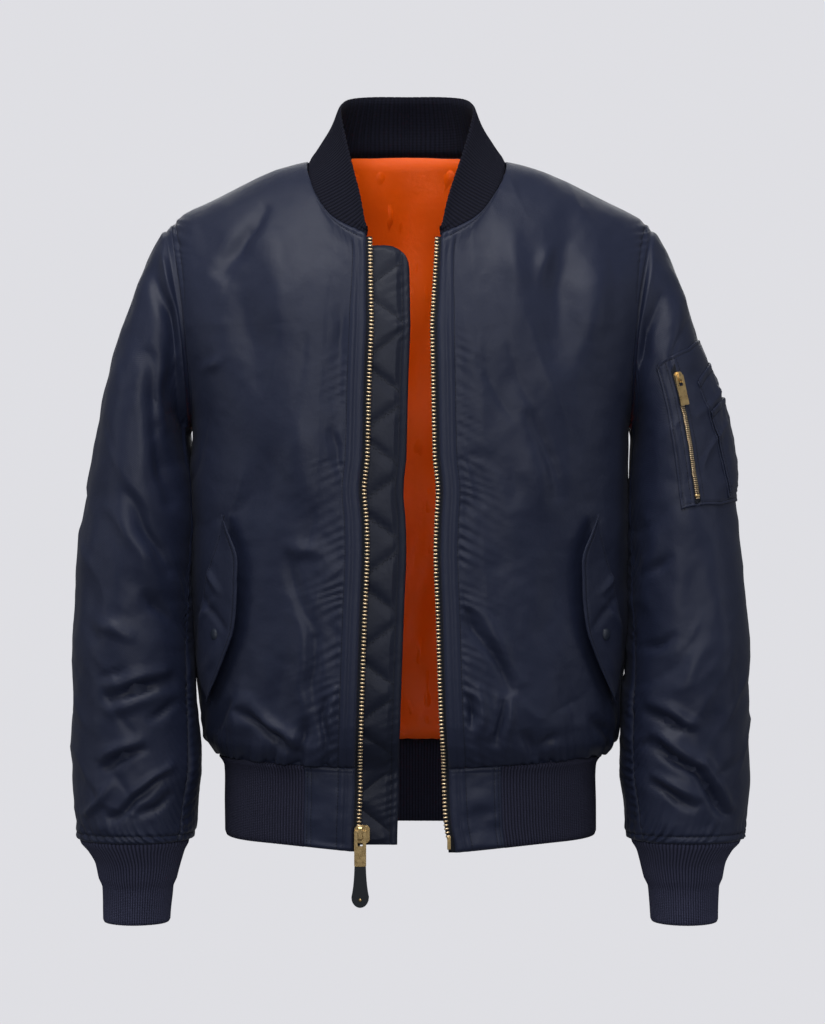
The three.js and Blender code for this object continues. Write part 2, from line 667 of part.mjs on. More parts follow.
// A point of a cuff, over the same angles as the sleeve
function cuffPoint(side, angle, row) {
  const c = Math.cos(angle * DEG);
  return point(
    side * (mix(atRow(CUFF, 'inX', row), atRow(CUFF, 'outX', row), (1 + c) / 2) + GAP),
    CUFF_MID_Y - atRow(CUFF, 'depth', row) * Math.sin(angle * DEG),
    atRow(CUFF, 'z', row),
  );
}

const ribLift = (count, height, part) => height * (0.5 + 0.5 * Math.cos(2 * Math.PI * count * part));

function addCuffs() {
  const rows = CUFF.map((_, i) => i);
  const ring = (n) => steps(n).slice(0, -1);
  for (const { side, word } of SIDES) {
    const surface = (u, row) => cuffPoint(side, 360 * u, row);
    const range = { u0: -1, u1: 2, v0: 0, v1: rows.length - 1, out: side };
    const lift = (u) => ribLift(CUFF_RIBS, 0.7, u) - 0.7;
    const outer = grid(surface, range, ring(2 * CUFF_RIBS), rows, lift, levelStart);
    const inner = grid(surface, range, ring(CUFF_RIBS / 2), rows, () => -CUFF_KNIT, levelStart);
    add(`cuff_${word}`, closedWall(outer, inner, true), 'knit');
  }
}

// At the sleeve the cuff's cloth edge is level
function levelStart(normal, u, row) {
  if (row < 0.01) normal.z = 0;
}

// A point of the collar, u from -1 at the left front end past the back, v up its height
function collarPoint(u, v) {
  const side = u < 0 ? LEFT : RIGHT;
  const row = Math.abs(u) * NECK_END_ROW;
  const low = neckSeam(side, row);
  const high = neckSeam(side, row, COLLAR_TOP);
  const height = low.distanceTo(high);
  const p = low.clone().lerp(high, v);
  const bulge = COLLAR_BULGE * Math.sin(Math.PI * v) * Math.min(1, height / 40);
  const away = point(p.x - NECK_SHIFT, p.y, 0).normalize();
  const inset = COLLAR_INSET * (1 - smooth(v / 0.4));
  return p.addScaledVector(away, bulge - inset).add(point(0, 0, COLLAR_LIFT));
}

function addCollar() {
  const range = { u0: -1, u1: 1, v0: 0, v1: 1, out: -1 };
  const around = (n) => steps(n).map((c) => 2 * c - 1);
  const lift = (u) => ribLift(COLLAR_RIBS, 0.8, (u + 1) / 2) - 0.8;
  const outer = grid(collarPoint, range, around(2 * COLLAR_RIBS), steps(3), lift);
  const inner = grid(collarPoint, range, around(COLLAR_RIBS / 2), steps(3), () => -KNIT);
  add('collar', closedWall(outer, inner), 'knit');
}

// A function that turns an even share of a path's length into the path's own parameter
function evenly(path, samples) {
  const places = steps(samples);
  const lengths = [0];
  for (let i = 1; i <= samples; i += 1) {
    lengths.push(lengths[i - 1] + path(places[i]).distanceTo(path(places[i - 1])));
  }
  return (share) => {
    const target = share * lengths[samples];
    let i = 1;
    while (i < samples && lengths[i] < target) i += 1;
    return mix(places[i - 1], places[i], (target - lengths[i - 1]) / (lengths[i] - lengths[i - 1]));
  };
}

// Where along a front's hem row the knit begins, as that row's u
function knitStart(side) {
  const edge = edgeX(side, HEM_Z);
  const reach = side === LEFT ? KNIT_START_LEFT : KNIT_START_RIGHT;
  return Math.asin((reach - edge) / (atKey(BODY, 'z', 'half', HEM_Z) - edge)) / (90 * DEG);
}

// A point of the knit waistband's run, w from its left end past the side and the back to the right
function waistRun(w, z) {
  const leg = w * 4;
  if (leg < 1) return bodyRow(LEFT, -1, mix(knitStart(LEFT), 1, leg), z);
  if (leg < 2) return bodyRow(LEFT, 1, 2 - leg, z);
  if (leg < 3) return bodyRow(RIGHT, 1, leg - 2, z);
  return bodyRow(RIGHT, -1, mix(1, knitStart(RIGHT), leg - 3), z);
}

function addWaistband() {
  const even = evenly((w) => waistRun(w, HEM_Z), 480);
  const surface = (share, v) => {
    const w = even(mix(WAIST_END_EASE, 1 - WAIST_END_EASE, share));
    const low = waistRun(w, HEM_Z);
    const facing = low.y < 0 ? -1 : 1;
    return waistRun(w, mix(HEM_Z, waistSeamZ(low.x, facing) - GAP / 2, v));
  };
  const range = { u0: 0, u1: 1, v0: 0, v1: 1, out: -1 };
  const lift = (u) => ribLift(WAIST_RIBS, 0.8, u) - 0.8;
  const outer = grid(surface, range, steps(2 * WAIST_RIBS), steps(2), lift, levelTop);
  const inner = grid(surface, range, steps(WAIST_RIBS / 2), steps(2), () => -KNIT, levelTop);
  add('waistband_knit', closedWall(outer, inner), 'knit');
  for (const { side, word } of SIDES) {
    const panel = (u, v) => {
      const low = bodyRow(side, -1, u * knitStart(side), HEM_Z);
      return bodyRow(side, -1, u * knitStart(side), mix(HEM_Z, waistSeamZ(low.x, -1) - GAP / 2, v));
    };
    const panelRange = { u0: 0, u1: 1, v0: 0, v1: 1, out: side };
    const wall = layer(panel, panelRange, steps(3), steps(2), 0, SHELL, () => 0, levelTop);
    add(`waistband_panel_${word}`, wall, 'nylon');
  }
}

// A point of a front's edge strip: w from -1 at the hem to 0 at the waist seam and 1 at the neck, and
// inward mm from the placket edge, below zero past it towards the middle
function stripPoint(side, inward, w) {
  const u = Math.max(0, inward) / EDGE_ARC;
  const p = w < 0
    ? bodyRow(side, -1, u, mix(waistSeamZ(edgeX(side, WAIST_SEAM_Z), -1), HEM_Z, -w))
    : panelPoint(side, -1, u, w);
  p.x += side * Math.min(0, inward);
  return p;
}

const STRIP_ROWS = [-1, -0.5, 0, ...LINING_ROWS];

function addZipTapes() {
  for (const { side, word } of SIDES) {
    const surface = (inward, w) => stripPoint(side, inward, w);
    const range = { u0: -60, u1: 60, v0: -1, v1: 1, out: side };
    const columns = [-PLACKET - TOOTH_HALF, 0, TAPE_HIDDEN];
    const tape = layer(surface, range, columns, STRIP_ROWS, TAPE_DEPTH, TAPE);
    add(`zip_tape_${word}`, tape, 'tape');
  }
}

// How far a place on the storm flap is from its zigzag quilting, from 0 on a line to 1 between lines
function quiltPuff(inward, z) {
  const across = (inward + FLAP_REACH) / (FLAP_REACH + PLACKET);
  const wave = Math.abs((((z - QUILT_START_Z) / QUILT_PITCH) % 1 + 1) % 1 * 2 - 1);
  return smooth(Math.abs(wave - across) / 0.45);
}

function addStormFlap() {
  const corner = (inward) => smooth((-inward - FLAP_REACH * 0.55) / (FLAP_REACH * 0.45));
  const topW = (inward) => FLAP_TOP_W - FLAP_CORNER * corner(inward);
  const surface = (inward, share) => stripPoint(LEFT, inward, mix(-1, topW(inward), share));
  const range = { u0: -60, u1: 60, v0: 0, v1: 1, out: LEFT };
  const columns = [-FLAP_REACH, -36, -28, -19, -10, 0, 8, FLAP_HIDDEN];
  const sunk = (inward) => mix(FLAP_DEPTH_HIDDEN, FLAP_DEPTH, smooth((FLAP_HIDDEN - inward) / 12));
  const puff = (inward, share) => {
    const edge = smooth((inward + FLAP_REACH) / 5) * smooth(share / 0.01) * smooth((1 - share) / 0.01);
    return inward > 0 ? 0 : QUILT_RISE * edge * quiltPuff(inward, surface(inward, share).z);
  };
  const outer = grid(surface, range, columns, steps(36), (u, v) => puff(u, v) - sunk(u));
  const inner = grid(surface, range, columns, steps(12), (u) => -sunk(u) - FLAP_CLOTH);
  add('storm_flap', closedWall(outer, inner), 'nylon');
}

// The place on a front, as u and v, that lies at a width and height below the underarm
function frontPlace(side, x, z) {
  const edge = edgeX(side, z);
  const u = Math.asin((Math.abs(x) - edge) / (atKey(BODY, 'z', 'half', z) - edge)) / (90 * DEG);
  const low = waistSeamZ(x, -1) + GAP / 2;
  return { u, v: UNDERARM_V * ((z - low) / (UNDERARM_Z - low)) ** (1 / LOW_ROWS_POWER) };
}

function addPocketFlaps() {
  for (const { side, word } of SIDES) {
    const placeAt = (open, along) => {
      const row = along * (POCKET_FLAP.length - 1);
      const x = mix(atRow(POCKET_FLAP, 'sewnX', row), atRow(POCKET_FLAP, 'freeX', row), open);
      const z = mix(atRow(POCKET_FLAP, 'sewnZ', row), atRow(POCKET_FLAP, 'freeZ', row), open);
      return { z, ...frontPlace(side, x, z) };
    };
    const surface = (open, along) => {
      const place = placeAt(open, along);
      return bodyRow(side, -1, place.u, place.z);
    };
    const range = { u0: 0, u1: 1, v0: 0, v1: 1, out: side };
    const rise = (open, along) => {
      const place = placeAt(open, along);
      return POCKET_FLAP_SEAT + POCKET_FLAP_OPEN * open * open + frontFolds(place.u, place.v);
    };
    const columns = steps(4);
    const rows = steps(10);
    const outer = grid(surface, range, columns, rows, (u, v) => rise(u, v) + FLAP_CLOTH);
    const inner = grid(surface, range, columns, rows, rise);
    add(`pocket_flap_${word}`, closedWall(outer, inner), 'nylon');
    const normal = normalAt(surface, SNAP_OPEN, SNAP_ALONG, range);
    const seat = surface(SNAP_OPEN, SNAP_ALONG)
      .addScaledVector(normal, rise(SNAP_OPEN, SNAP_ALONG) + FLAP_CLOTH + SNAP_SEAT);
    add(`snap_${word}`, snapCap(), 'snap');
    const mesh = jacket.children.at(-1);
    mesh.quaternion.setFromUnitVectors(point(0, 1, 0), normal);
    mesh.position.copy(seat);
  }
}

// A snap's domed cap, its flat back at the origin and its dome along +Y
function snapCap() {
  const profile = [[0, 0], [6, 0], [6, 0.7], [4.6, 1.5], [2.5, 1.9], [0, 2]];
  return new THREE.LatheGeometry(profile.map(([r, h]) => new THREE.Vector2(r, h)), 14);
}

// A layer on the right sleeve's top piece. lineAt gives the sleeve's line for a column, and tAt the
// place down the sleeve for a row
function sleeveLayer(name, colour, lineAt, tAt, columns, rows, seat, thickness) {
  const surface = (c, v) => {
    const t = tAt(c, v);
    return sleevePoint(RIGHT, topAngle(lineAt(c, v) / TOP_COLUMNS, t), t);
  };
  const range = { u0: -1, u1: TOP_COLUMNS, v0: 0, v1: rows.at(-1), out: RIGHT };
  const outer = grid(surface, range, columns, rows, (c, v) => seat(c, v) + thickness);
  const inner = grid(surface, range, columns, rows, seat);
  add(name, closedWall(outer, inner), colour);
}

// The sleeve's own rows that the layers on it share
const SHARED_ROWS = [3 / 14, 4 / 14, 5 / 14];

function addSleevePocket() {
  const edges = (line) => [
    atKey(SLEEVE_POCKET, 'line', 'top', line),
    ...SHARED_ROWS,
    atKey(SLEEVE_POCKET, 'line', 'bottom', line),
  ];
  const between = (list, v) => {
    const low = Math.min(list.length - 2, Math.floor(v));
    return mix(list[low], list[low + 1], v - low);
  };
  const pocketT = (line, v) => between(edges(line), v);
  sleeveLayer('sleeve_pocket', 'nylon', (line) => line, pocketT, [4, 5, 6, 7, 8, 9, 10], [0, 1, 2, 3, 4],
    () => POCKET_SEAT, PATCH);
  const zipLine = (c) => SLEEVE_ZIP.line + c * SLEEVE_ZIP.halfLine;
  const zipRows = [SLEEVE_ZIP.top, ...SHARED_ROWS, SLEEVE_ZIP.bottom];
  sleeveLayer('sleeve_zip_tape', 'tape', zipLine, (c, v) => between(zipRows, v), [-1, 1], [0, 1, 2, 3, 4],
    () => SLEEVE_TAPE_SEAT, SLEEVE_TAPE);
  const tall = PEN_POCKETS[0];
  const puff = (line, t) => PEN_BULGE
    * smooth((t - tall.top) / 0.06) * smooth((tall.bottom - t) / 0.07)
    * smooth((line - PEN_BACK_LINE) / 1.2) * smooth((tall.frontBottom - line) / 1.2);
  PEN_POCKETS.forEach((pen, i) => {
    const seat = PEN_SEAT + (i + 1) * (PATCH + PEN_SEAT);
    const rows = i === 0
      ? [pen.top, 0.263, 4 / 14, 0.32, 5 / 14, 0.39, pen.bottom]
      : [pen.top, 0.32, 5 / 14, 0.39, pen.bottom];
    const tAt = (c, v) => between(rows, v);
    const front = (t) => mix(pen.frontTop, pen.frontBottom, (t - pen.top) / (pen.bottom - pen.top));
    const lineAt = (c, v) => (c <= 7 ? c : mix(7, front(tAt(c, v)), c - 7));
    const lift = (c, v) => seat + puff(lineAt(c, v), tAt(c, v));
    sleeveLayer(pen.name, 'nylon', lineAt, tAt, [4, 5, 6, 7, 8], rows.map((_, r) => r), lift, PATCH);
  });
}

// The small slider at the top of the sleeve pocket's zip, and its pull
function addSleeveSlider() {
  const surface = (u, t) => sleevePoint(RIGHT, topAngle(u, t), t);
  const line = SLEEVE_ZIP.line / TOP_COLUMNS;
  const hinge = surface(line, SLEEVE_ZIP.sliderT);
  const out = normalAt(surface, line, SLEEVE_ZIP.sliderT, { u0: 0, u1: 1, v0: 0, v1: 1, out: RIGHT });
  const up = hinge.clone().sub(surface(line, SLEEVE_ZIP.bottom));
  up.addScaledVector(out, -up.dot(out)).normalize();
  const seat = SLEEVE_TAPE_SEAT + SLEEVE_TAPE + GAP;
  hinge.addScaledVector(out, seat + SLEEVE_SLIDER.face + SLEEVE_SLIDER.plate);
  const inward = out.clone().negate();
  const place = new THREE.Matrix4().makeBasis(inward.clone().cross(up), inward, up).setPosition(hinge);
  add('sleeve_slider', sliderBody(SLEEVE_SLIDER).applyMatrix4(place), 'brass');
  add('sleeve_pull_plate', pullPlate(SLEEVE_PULL).applyMatrix4(place), 'brass');
}

const wasm = await Module();
wasm.setup();

// A closed geometry as a solid that can be joined to others
function solidOf(geometry) {
  const bare = geometry.clone();
  bare.deleteAttribute('normal');
  bare.deleteAttribute('uv');
  const merged = mergeVertices(bare, 1e-4);
  return new wasm.Manifold(new wasm.Mesh({
    numProp: 3,
    vertProperties: new Float32Array(merged.attributes.position.array),
    triVerts: new Uint32Array(merged.index.array),
  }));
}

function joined(geometries) {
  const mesh = geometries.map(solidOf).reduce((all, next) => all.add(next)).getMesh();
  const geometry = new THREE.BufferGeometry();
  geometry.setAttribute('position', new THREE.BufferAttribute(new Float32Array(mesh.vertProperties), 3));
  geometry.setIndex([...mesh.triVerts]);
  return geometry;
}

// A flat outline in x and z, made solid from y = face into the garment
function plateOf(shape, face, thick) {
  const geometry = new THREE.ExtrudeGeometry(shape, { depth: thick, bevelEnabled: false, curveSegments: 5 });
  return geometry.rotateX(Math.PI / 2).translate(0, face + thick, 0);
}

function roundedOutline(left, right, bottom, top, radius) {
  const shape = new THREE.Shape();
  shape.moveTo(left + radius, bottom);
  shape.lineTo(right - radius, bottom);
  shape.absarc(right - radius, bottom + radius, radius, -Math.PI / 2, 0);
  shape.lineTo(right, top - radius);
  shape.absarc(right - radius, top - radius, radius, 0, Math.PI / 2);
  shape.lineTo(left + radius, top);
  shape.absarc(left + radius, top - radius, radius, Math.PI / 2, Math.PI);
  shape.lineTo(left, bottom + radius);
  shape.absarc(left + radius, bottom + radius, radius, Math.PI, 1.5 * Math.PI);
  return shape;
}

// A zip slider about its pull's hinge: a face plate with a bail, and a back plate on a web
function sliderBody(size) {
  const half = size.width / 2;
  const [left, right] = [size.shift - half, size.shift + half];
  const outline = () => roundedOutline(left, right, size.bottom, size.top, half * 0.55);
  const parts = [plateOf(outline(), size.face, size.plate)];
  const bail = new THREE.Shape();
  bail.moveTo(size.face + 0.4, size.bailBottom);
  bail.lineTo(size.face + 0.4, size.bailTop);
  bail.lineTo(size.bailOut + 1.2, size.bailTop - 0.4);
  bail.lineTo(size.bailOut, size.bailTop - 1.8);
  bail.lineTo(size.bailOut, size.bailBottom + 1.8);
  bail.lineTo(size.bailOut + 1.2, size.bailBottom + 0.4);
  const hole = new THREE.Path();
  hole.moveTo(size.face - 0.5, size.holeBottom);
  hole.lineTo(size.holeOut, size.holeBottom);
  hole.lineTo(size.holeOut, size.holeTop);
  hole.lineTo(size.face - 0.5, size.holeTop);
  bail.holes.push(hole);
  const loop = new THREE.ExtrudeGeometry(bail, { depth: size.bailWidth, bevelEnabled: false });
  const turn = new THREE.Matrix4().makeBasis(point(0, 1, 0), point(0, 0, 1), point(1, 0, 0));
  parts.push(loop.applyMatrix4(turn).translate(-size.bailWidth / 2, 0, 0));
  if (size.web > 0) {
    const depth = size.web + 0.4;
    const web = new THREE.BoxGeometry(size.webWidth, depth, (size.top - size.bottom) * 0.7);
    const behind = size.face + size.plate;
    parts.push(web.translate(size.shift, behind - 0.2 + depth / 2, (size.top + size.bottom) / 2));
    parts.push(plateOf(outline(), behind + size.web, size.back));
  }
  return joined(parts);
}

// A pull's plate about its hinge, with the slot that the bail passes through
function pullPlate(size) {
  const half = size.width / 2;
  const shape = roundedOutline(-half, half, size.bottom, size.top, 1);
  shape.holes.push(roundedOutline(-size.slotWidth / 2, size.slotWidth / 2, size.slotBottom, size.slotTop, 1));
  return plateOf(shape, -size.thick / 2, size.thick);
}

// The moulded grip under the front pull's plate
function pullGrip() {
  const shape = new THREE.Shape();
  const neck = GRIP.neck / 2;
  const wide = GRIP.widest / 2;
  shape.moveTo(-neck, GRIP.top);
  shape.lineTo(neck, GRIP.top);
  shape.quadraticCurveTo(neck + 0.4, mix(GRIP.top, GRIP.widestZ, 0.6), wide, GRIP.widestZ);
  shape.absellipse(0, GRIP.widestZ, wide, GRIP.widestZ - GRIP.bottom, 0, -Math.PI, true);
  shape.quadraticCurveTo(-neck - 0.4, mix(GRIP.top, GRIP.widestZ, 0.6), -neck, GRIP.top);
  return plateOf(shape, -GRIP.thick / 2, GRIP.thick);
}

function addFrontSlider() {
  const at = point(FRONT_HINGE.x, FRONT_HINGE.y, FRONT_HINGE.z);
  add('front_slider', sliderBody(FRONT_SLIDER).translate(at.x, at.y, at.z), 'brass');
  add('front_pull_plate', pullPlate(FRONT_PULL).translate(at.x, at.y, at.z), 'brass');
  add('front_pull_grip', pullGrip().translate(at.x, at.y, at.z), 'rubber');
}

// The pin at the foot of the right row of teeth
function addZipPin() {
  const middle = (ZIP_PIN.top + ZIP_PIN.bottom) / 2;
  const pin = new THREE.BoxGeometry(ZIP_PIN.width, ZIP_PIN.depth, ZIP_PIN.top - ZIP_PIN.bottom);
  const inFront = atKey(BODY, 'z', 'front', middle) - TAPE_DEPTH + GAP + ZIP_PIN.depth / 2;
  const x = atKey(ZIP, 'z', 'right', middle) - 0.6;
  add('zip_pin', pin.translate(x, -inFront, middle), 'brass');
}

addFronts();
addBack();
addSleeves();
addCuffs();
addCollar();
addWaistband();
addZipTapes();
addStormFlap();
addPocketFlaps();
addSleevePocket();
addSleeveSlider();
addFrontSlider();
addZipPin();

export default jacket;
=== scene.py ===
"""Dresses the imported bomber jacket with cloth, rib knit, lining, sewing and zip teeth.

Shapes are worked out in millimetres, with the front facing -Y, and go into meshes in metres.
"""
import logging
import math
from collections.abc import Callable, Sequence
from dataclasses import dataclass, field
from enum import Enum

import bpy
import numpy as np
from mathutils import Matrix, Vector


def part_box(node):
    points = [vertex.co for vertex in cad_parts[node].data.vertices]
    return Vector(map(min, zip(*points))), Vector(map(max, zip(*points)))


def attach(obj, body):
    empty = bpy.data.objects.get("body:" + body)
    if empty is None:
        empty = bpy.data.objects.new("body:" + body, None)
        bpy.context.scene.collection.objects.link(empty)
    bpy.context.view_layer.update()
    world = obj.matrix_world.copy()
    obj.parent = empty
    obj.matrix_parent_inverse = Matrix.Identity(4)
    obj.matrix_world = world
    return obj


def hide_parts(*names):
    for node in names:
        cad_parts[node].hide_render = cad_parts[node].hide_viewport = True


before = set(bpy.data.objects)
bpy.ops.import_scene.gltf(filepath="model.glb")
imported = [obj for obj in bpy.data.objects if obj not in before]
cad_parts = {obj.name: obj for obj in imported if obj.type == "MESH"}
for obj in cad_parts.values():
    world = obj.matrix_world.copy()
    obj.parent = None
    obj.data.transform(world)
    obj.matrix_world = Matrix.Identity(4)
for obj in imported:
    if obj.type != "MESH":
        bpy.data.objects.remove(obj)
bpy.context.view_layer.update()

Array = np.ndarray
Surface = Callable[[Array, Array], Array]
LOG = logging.getLogger("jacket")

MM = 0.001
LEFT = -1
RIGHT = 1
WORDS = {LEFT: "left", RIGHT: "right"}
CLOTH_BODY = "jacket"

# Walls of cloth, and how deep the hidden layers lie under the shell, in mm.
SHELL = 3.5
LINING = 1.2
LINING_DEPTH = 3.9
KNIT = 3.0
CUFF_KNIT = 2.6
TAPE = 1.0
TAPE_DEPTH = 4.3
TAPE_HIDDEN = 6.0
FLAP_CLOTH = 2.2
PATCH = 1.2
# Lines of the cut and small offsets that several pieces share, in mm.
CHEST_Z = -170.0
ARMHOLE_RISE = 100.0
ARM_STITCH_Z = -150.0
UNDERARM_Z = -270.0
INNER_Z = -300.0
WAIST_SEAM_Z = -594.0
WAIST_SEAM_DROP = 7.0
HEM_Z = -672.0
HEM_DROOP = 9.5
NECK_SHIFT = -3.5
PLACKET = 4.5
TOOTH_HALF = 2.4
EDGE_ARC = 265.0
GAP = 0.3
SHOULDER_TIP = (241.0, 5.0, -70.0)
SHOULDER_CROWN = 8.5
SHOULDER_END_LIFT = {LEFT: 6.5, RIGHT: 4.0}
SLEEVE_HEAD_LIFT = {LEFT: 6.0, RIGHT: 1.5}
SLEEVE_TUCK = 8.0
PANEL_END = {LEFT: 104.0, RIGHT: 92.0}
KNIT_LAP = 1.4
SMALLEST_CUT = 10.1
# How strongly the tables of creases are raised.
CREASE_DEPTH = 1.9
# Shares of a panel's grid, and rows of the neck's tables, where its lines lie.
UNDERARM_V = 0.5
CHEST_V = 0.75
LOW_ROWS_POWER = 1.5
FRONT_NECK_U = 0.3
BACK_NECK_U = 0.38
SHOULDER_ROW = 4
NECK_END_ROW = 8
SLEEVE_TUCK_ROWS = np.array([-0.032, -0.024, -0.016, -0.008])
SLEEVE_LINES = 13


def mix(a: Array | float, b: Array | float, t: Array | float) -> Array:
    """The value that is the share t of the way from a to b."""
    return a + (b - a) * t


def smooth(t: Array | float) -> Array:
    """A soft step from 0 to 1: three times t squared less twice t cubed, t held to 0 and 1."""
    t = np.clip(t, 0.0, 1.0)
    return t * t * (3.0 - 2.0 * t)


def bump(distance: Array, wide: float) -> Array:
    """A soft bell: e to the minus square of distance over wide."""
    return np.exp(-((distance / wide) ** 2))


def stack(x: Array, y: Array, z: Array) -> Array:
    """Points whose last axis holds x, y and z."""
    return np.stack(np.broadcast_arrays(x, y, z), axis=-1).astype(float)


def unit(vectors: Array) -> Array:
    """The same directions with length 1."""
    return vectors / np.maximum(np.linalg.norm(vectors, axis=-1, keepdims=True), 1e-9)


class Table:
    """Rows of sizes with named columns, read along a smooth curve through the rows."""

    def __init__(self, columns: str, rows: Sequence[Sequence[float]]) -> None:
        """Keeps each column under its name; the first column is the key."""
        names = columns.split()
        self.key = names[0]
        self.columns = {name: np.array(col, float) for name, col in zip(names, zip(*rows))}

    def at_row(self, column: str, row: Array | float) -> Array:
        """A column at a row number that may lie between two rows.

        Formula: a cubic through the two rows beside it, with the slopes of their neighbours.

        Args:
            column: the column's name.
            row: row numbers.

        Returns:
            The column's values there.
        """
        values = self.columns[column]
        last = len(values) - 1
        row = np.asarray(row, float)
        low = np.clip(np.floor(row), 0, last - 1).astype(int)
        t = np.clip(row - low, 0.0, 1.0)
        a, b, c, d = (values[np.clip(low + step, 0, last)] for step in (-1, 0, 1, 2))
        slope_b, slope_c = (c - a) / 2, (d - b) / 2
        t2, t3 = t * t, t * t * t
        return ((2 * t3 - 3 * t2 + 1) * b + (t3 - 2 * t2 + t) * slope_b
                + (3 * t2 - 2 * t3) * c + (t3 - t2) * slope_c)

    def at(self, column: str, value: Array | float) -> Array:
        """A column where the key column has that value."""
        keys = self.columns[self.key]
        return self.at_row(column, np.interp(value, keys, np.arange(len(keys))))


BODY = Table("z half front back square", [
    (-680, 185, 118, 112, 1.25), (-640, 185.5, 118.5, 112, 1.25), (-602, 186, 119, 113, 1.25),
    (-590, 194, 125, 118, 1.25), (-577, 203, 131, 124, 1.25), (-558, 209, 135, 128, 1.25),
    (-525, 212.5, 137, 130, 1.25), (-480, 217, 137.5, 130, 1.27), (-430, 221, 137, 129, 1.32),
    (-340, 222.8, 136, 128, 1.55), (-270, 221, 134.4, 127.4, 1.85), (-205, 224, 132, 125.4, 2.02),
    (-170, 226, 128, 122, 2.1),
    (-139, 226, 121.3, 118, 2.1), (-107, 226, 112.8, 112, 2.1), (-82, 226, 105, 106, 2.1),
])
ZIP = Table("z left right", [
    (-676, 50.2, 38.5), (-654, 49.8, 34.5), (-625, 48.6, 32.8), (-590, 48.3, 31.7), (-555, 47.2, 29.6),
    (-505, 45.6, 27.8), (-448, 43.6, 26.2), (-396, 41.5, 24.2), (-360, 42, 25), (-331, 44.3, 26.4),
    (-300, 41.3, 23.4), (-229, 39.6, 22), (-150, 37, 20.8), (-110, 38, 22), (-82, 39, 25.6),
])
NECK = Table("row x y z", [
    (0, 0, 75, 14), (1, 42, 70, 13), (2, 76, 50, 9.5), (3, 94, 22, 4), (4, 98.5, 0, -2),
    (5, 98, -28, -15), (6, 91, -60, -36), (7, 73, -88, -63), (8, 40, -105, -82),
])
COLLAR_TOP = Table("row x y z", [
    (0, 0, 60, 70), (1, 36, 57, 69.5), (2, 59, 40, 65), (3, 67, 14, 56), (4, 67.5, -8, 44),
    (5, 62, -32, 18), (6, 54, -58, -14), (7, 46, -82, -46), (8, 40.5, -103, -78),
])
FRONT_SHOULDER = Table("u out drop", [
    (0, 13, 36), (0.1, 32, 28), (0.18, 59, 22), (0.24, 81, 15), (0.3, 100, 9), (0.65, 90, 4), (1, 74.5, 0),
])
BACK_SHOULDER = Table("u out drop", [
    (0, 37, 44), (0.2, 52, 34), (0.38, 95, 14), (0.7, 84, 5), (1, 72, 0),
])
SLEEVE = Table("row outX outZ inX inZ depth midY", [
    (0, 241, -70, 218, -270, 72, 2.5), (1, 255, -95, 220, -277, 73.5, 0),
    (2, 272, -131, 218.5, -290, 75, -3), (3, 289, -185, 215.5, -312, 76, -6),
    (4, 303, -235, 213.5, -340, 76, -9), (5, 313, -282, 212.5, -368, 75, -12),
    (6, 323, -340, 212.5, -405, 74, -15), (7, 329.5, -392, 213, -442, 73, -18),
    (8, 334, -446, 213.5, -482, 72, -20), (9, 335.5, -500, 212, -524, 70, -22),
    (10, 336, -550, 208, -566, 68, -24), (11, 335.5, -596, 207, -606, 66.5, -25),
    (12, 333.5, -636, 210.5, -640, 65, -26), (13, 331.5, -664, 212.5, -665, 64, -26),
    (14, 328, -676, 217, -676, 61.5, -26),
])
SLEEVE_SEAMS = Table("t front back", [(0, 160, 240), (0.5, 156, 238), (0.8, 147, 238), (1, 142, 238)])
CUFF = Table("down outX inX depth", [
    (676.4, 327.3, 218.5, 60.8), (686, 319, 223.5, 55), (698, 312, 227, 48),
    (714, 308.5, 231, 44), (722, 305, 234.8, 41), (757, 304, 237.5, 39.5),
])
CUFF_MID_Y = -26.0
POCKET_FLAP = Table("row sewnX sewnZ freeX freeZ", [
    (0, 179.5, -355, 177, -354), (1, 186, -381, 169, -374), (2, 192.5, -402, 162, -394),
    (3, 199, -425, 162, -418), (4, 203.5, -452, 163, -445), (5, 206.5, -476, 166, -468),
    (6, 207.5, -498, 174, -490), (7, 204.5, -517, 183.5, -514), (8, 196.5, -538, 194, -538),
])
SLEEVE_POCKET = Table("line top bottom", [
    (4, 0.205, 0.43), (6, 0.208, 0.43), (8, 0.19, 0.42), (9, 0.165, 0.405), (10, 0.13, 0.392),
])


@dataclass(frozen=True)
class Crease:
    """A soft trough or ridge from one place to another, in mm; rise is below zero in a trough."""

    x0: float
    z0: float
    x1: float
    z1: float
    wide: float
    rise: float


def creases(rows: Sequence[Sequence[float]]) -> list[Crease]:
    """Creases from rows of x0, z0, x1, z1, wide and rise."""
    return [Crease(*row) for row in rows]


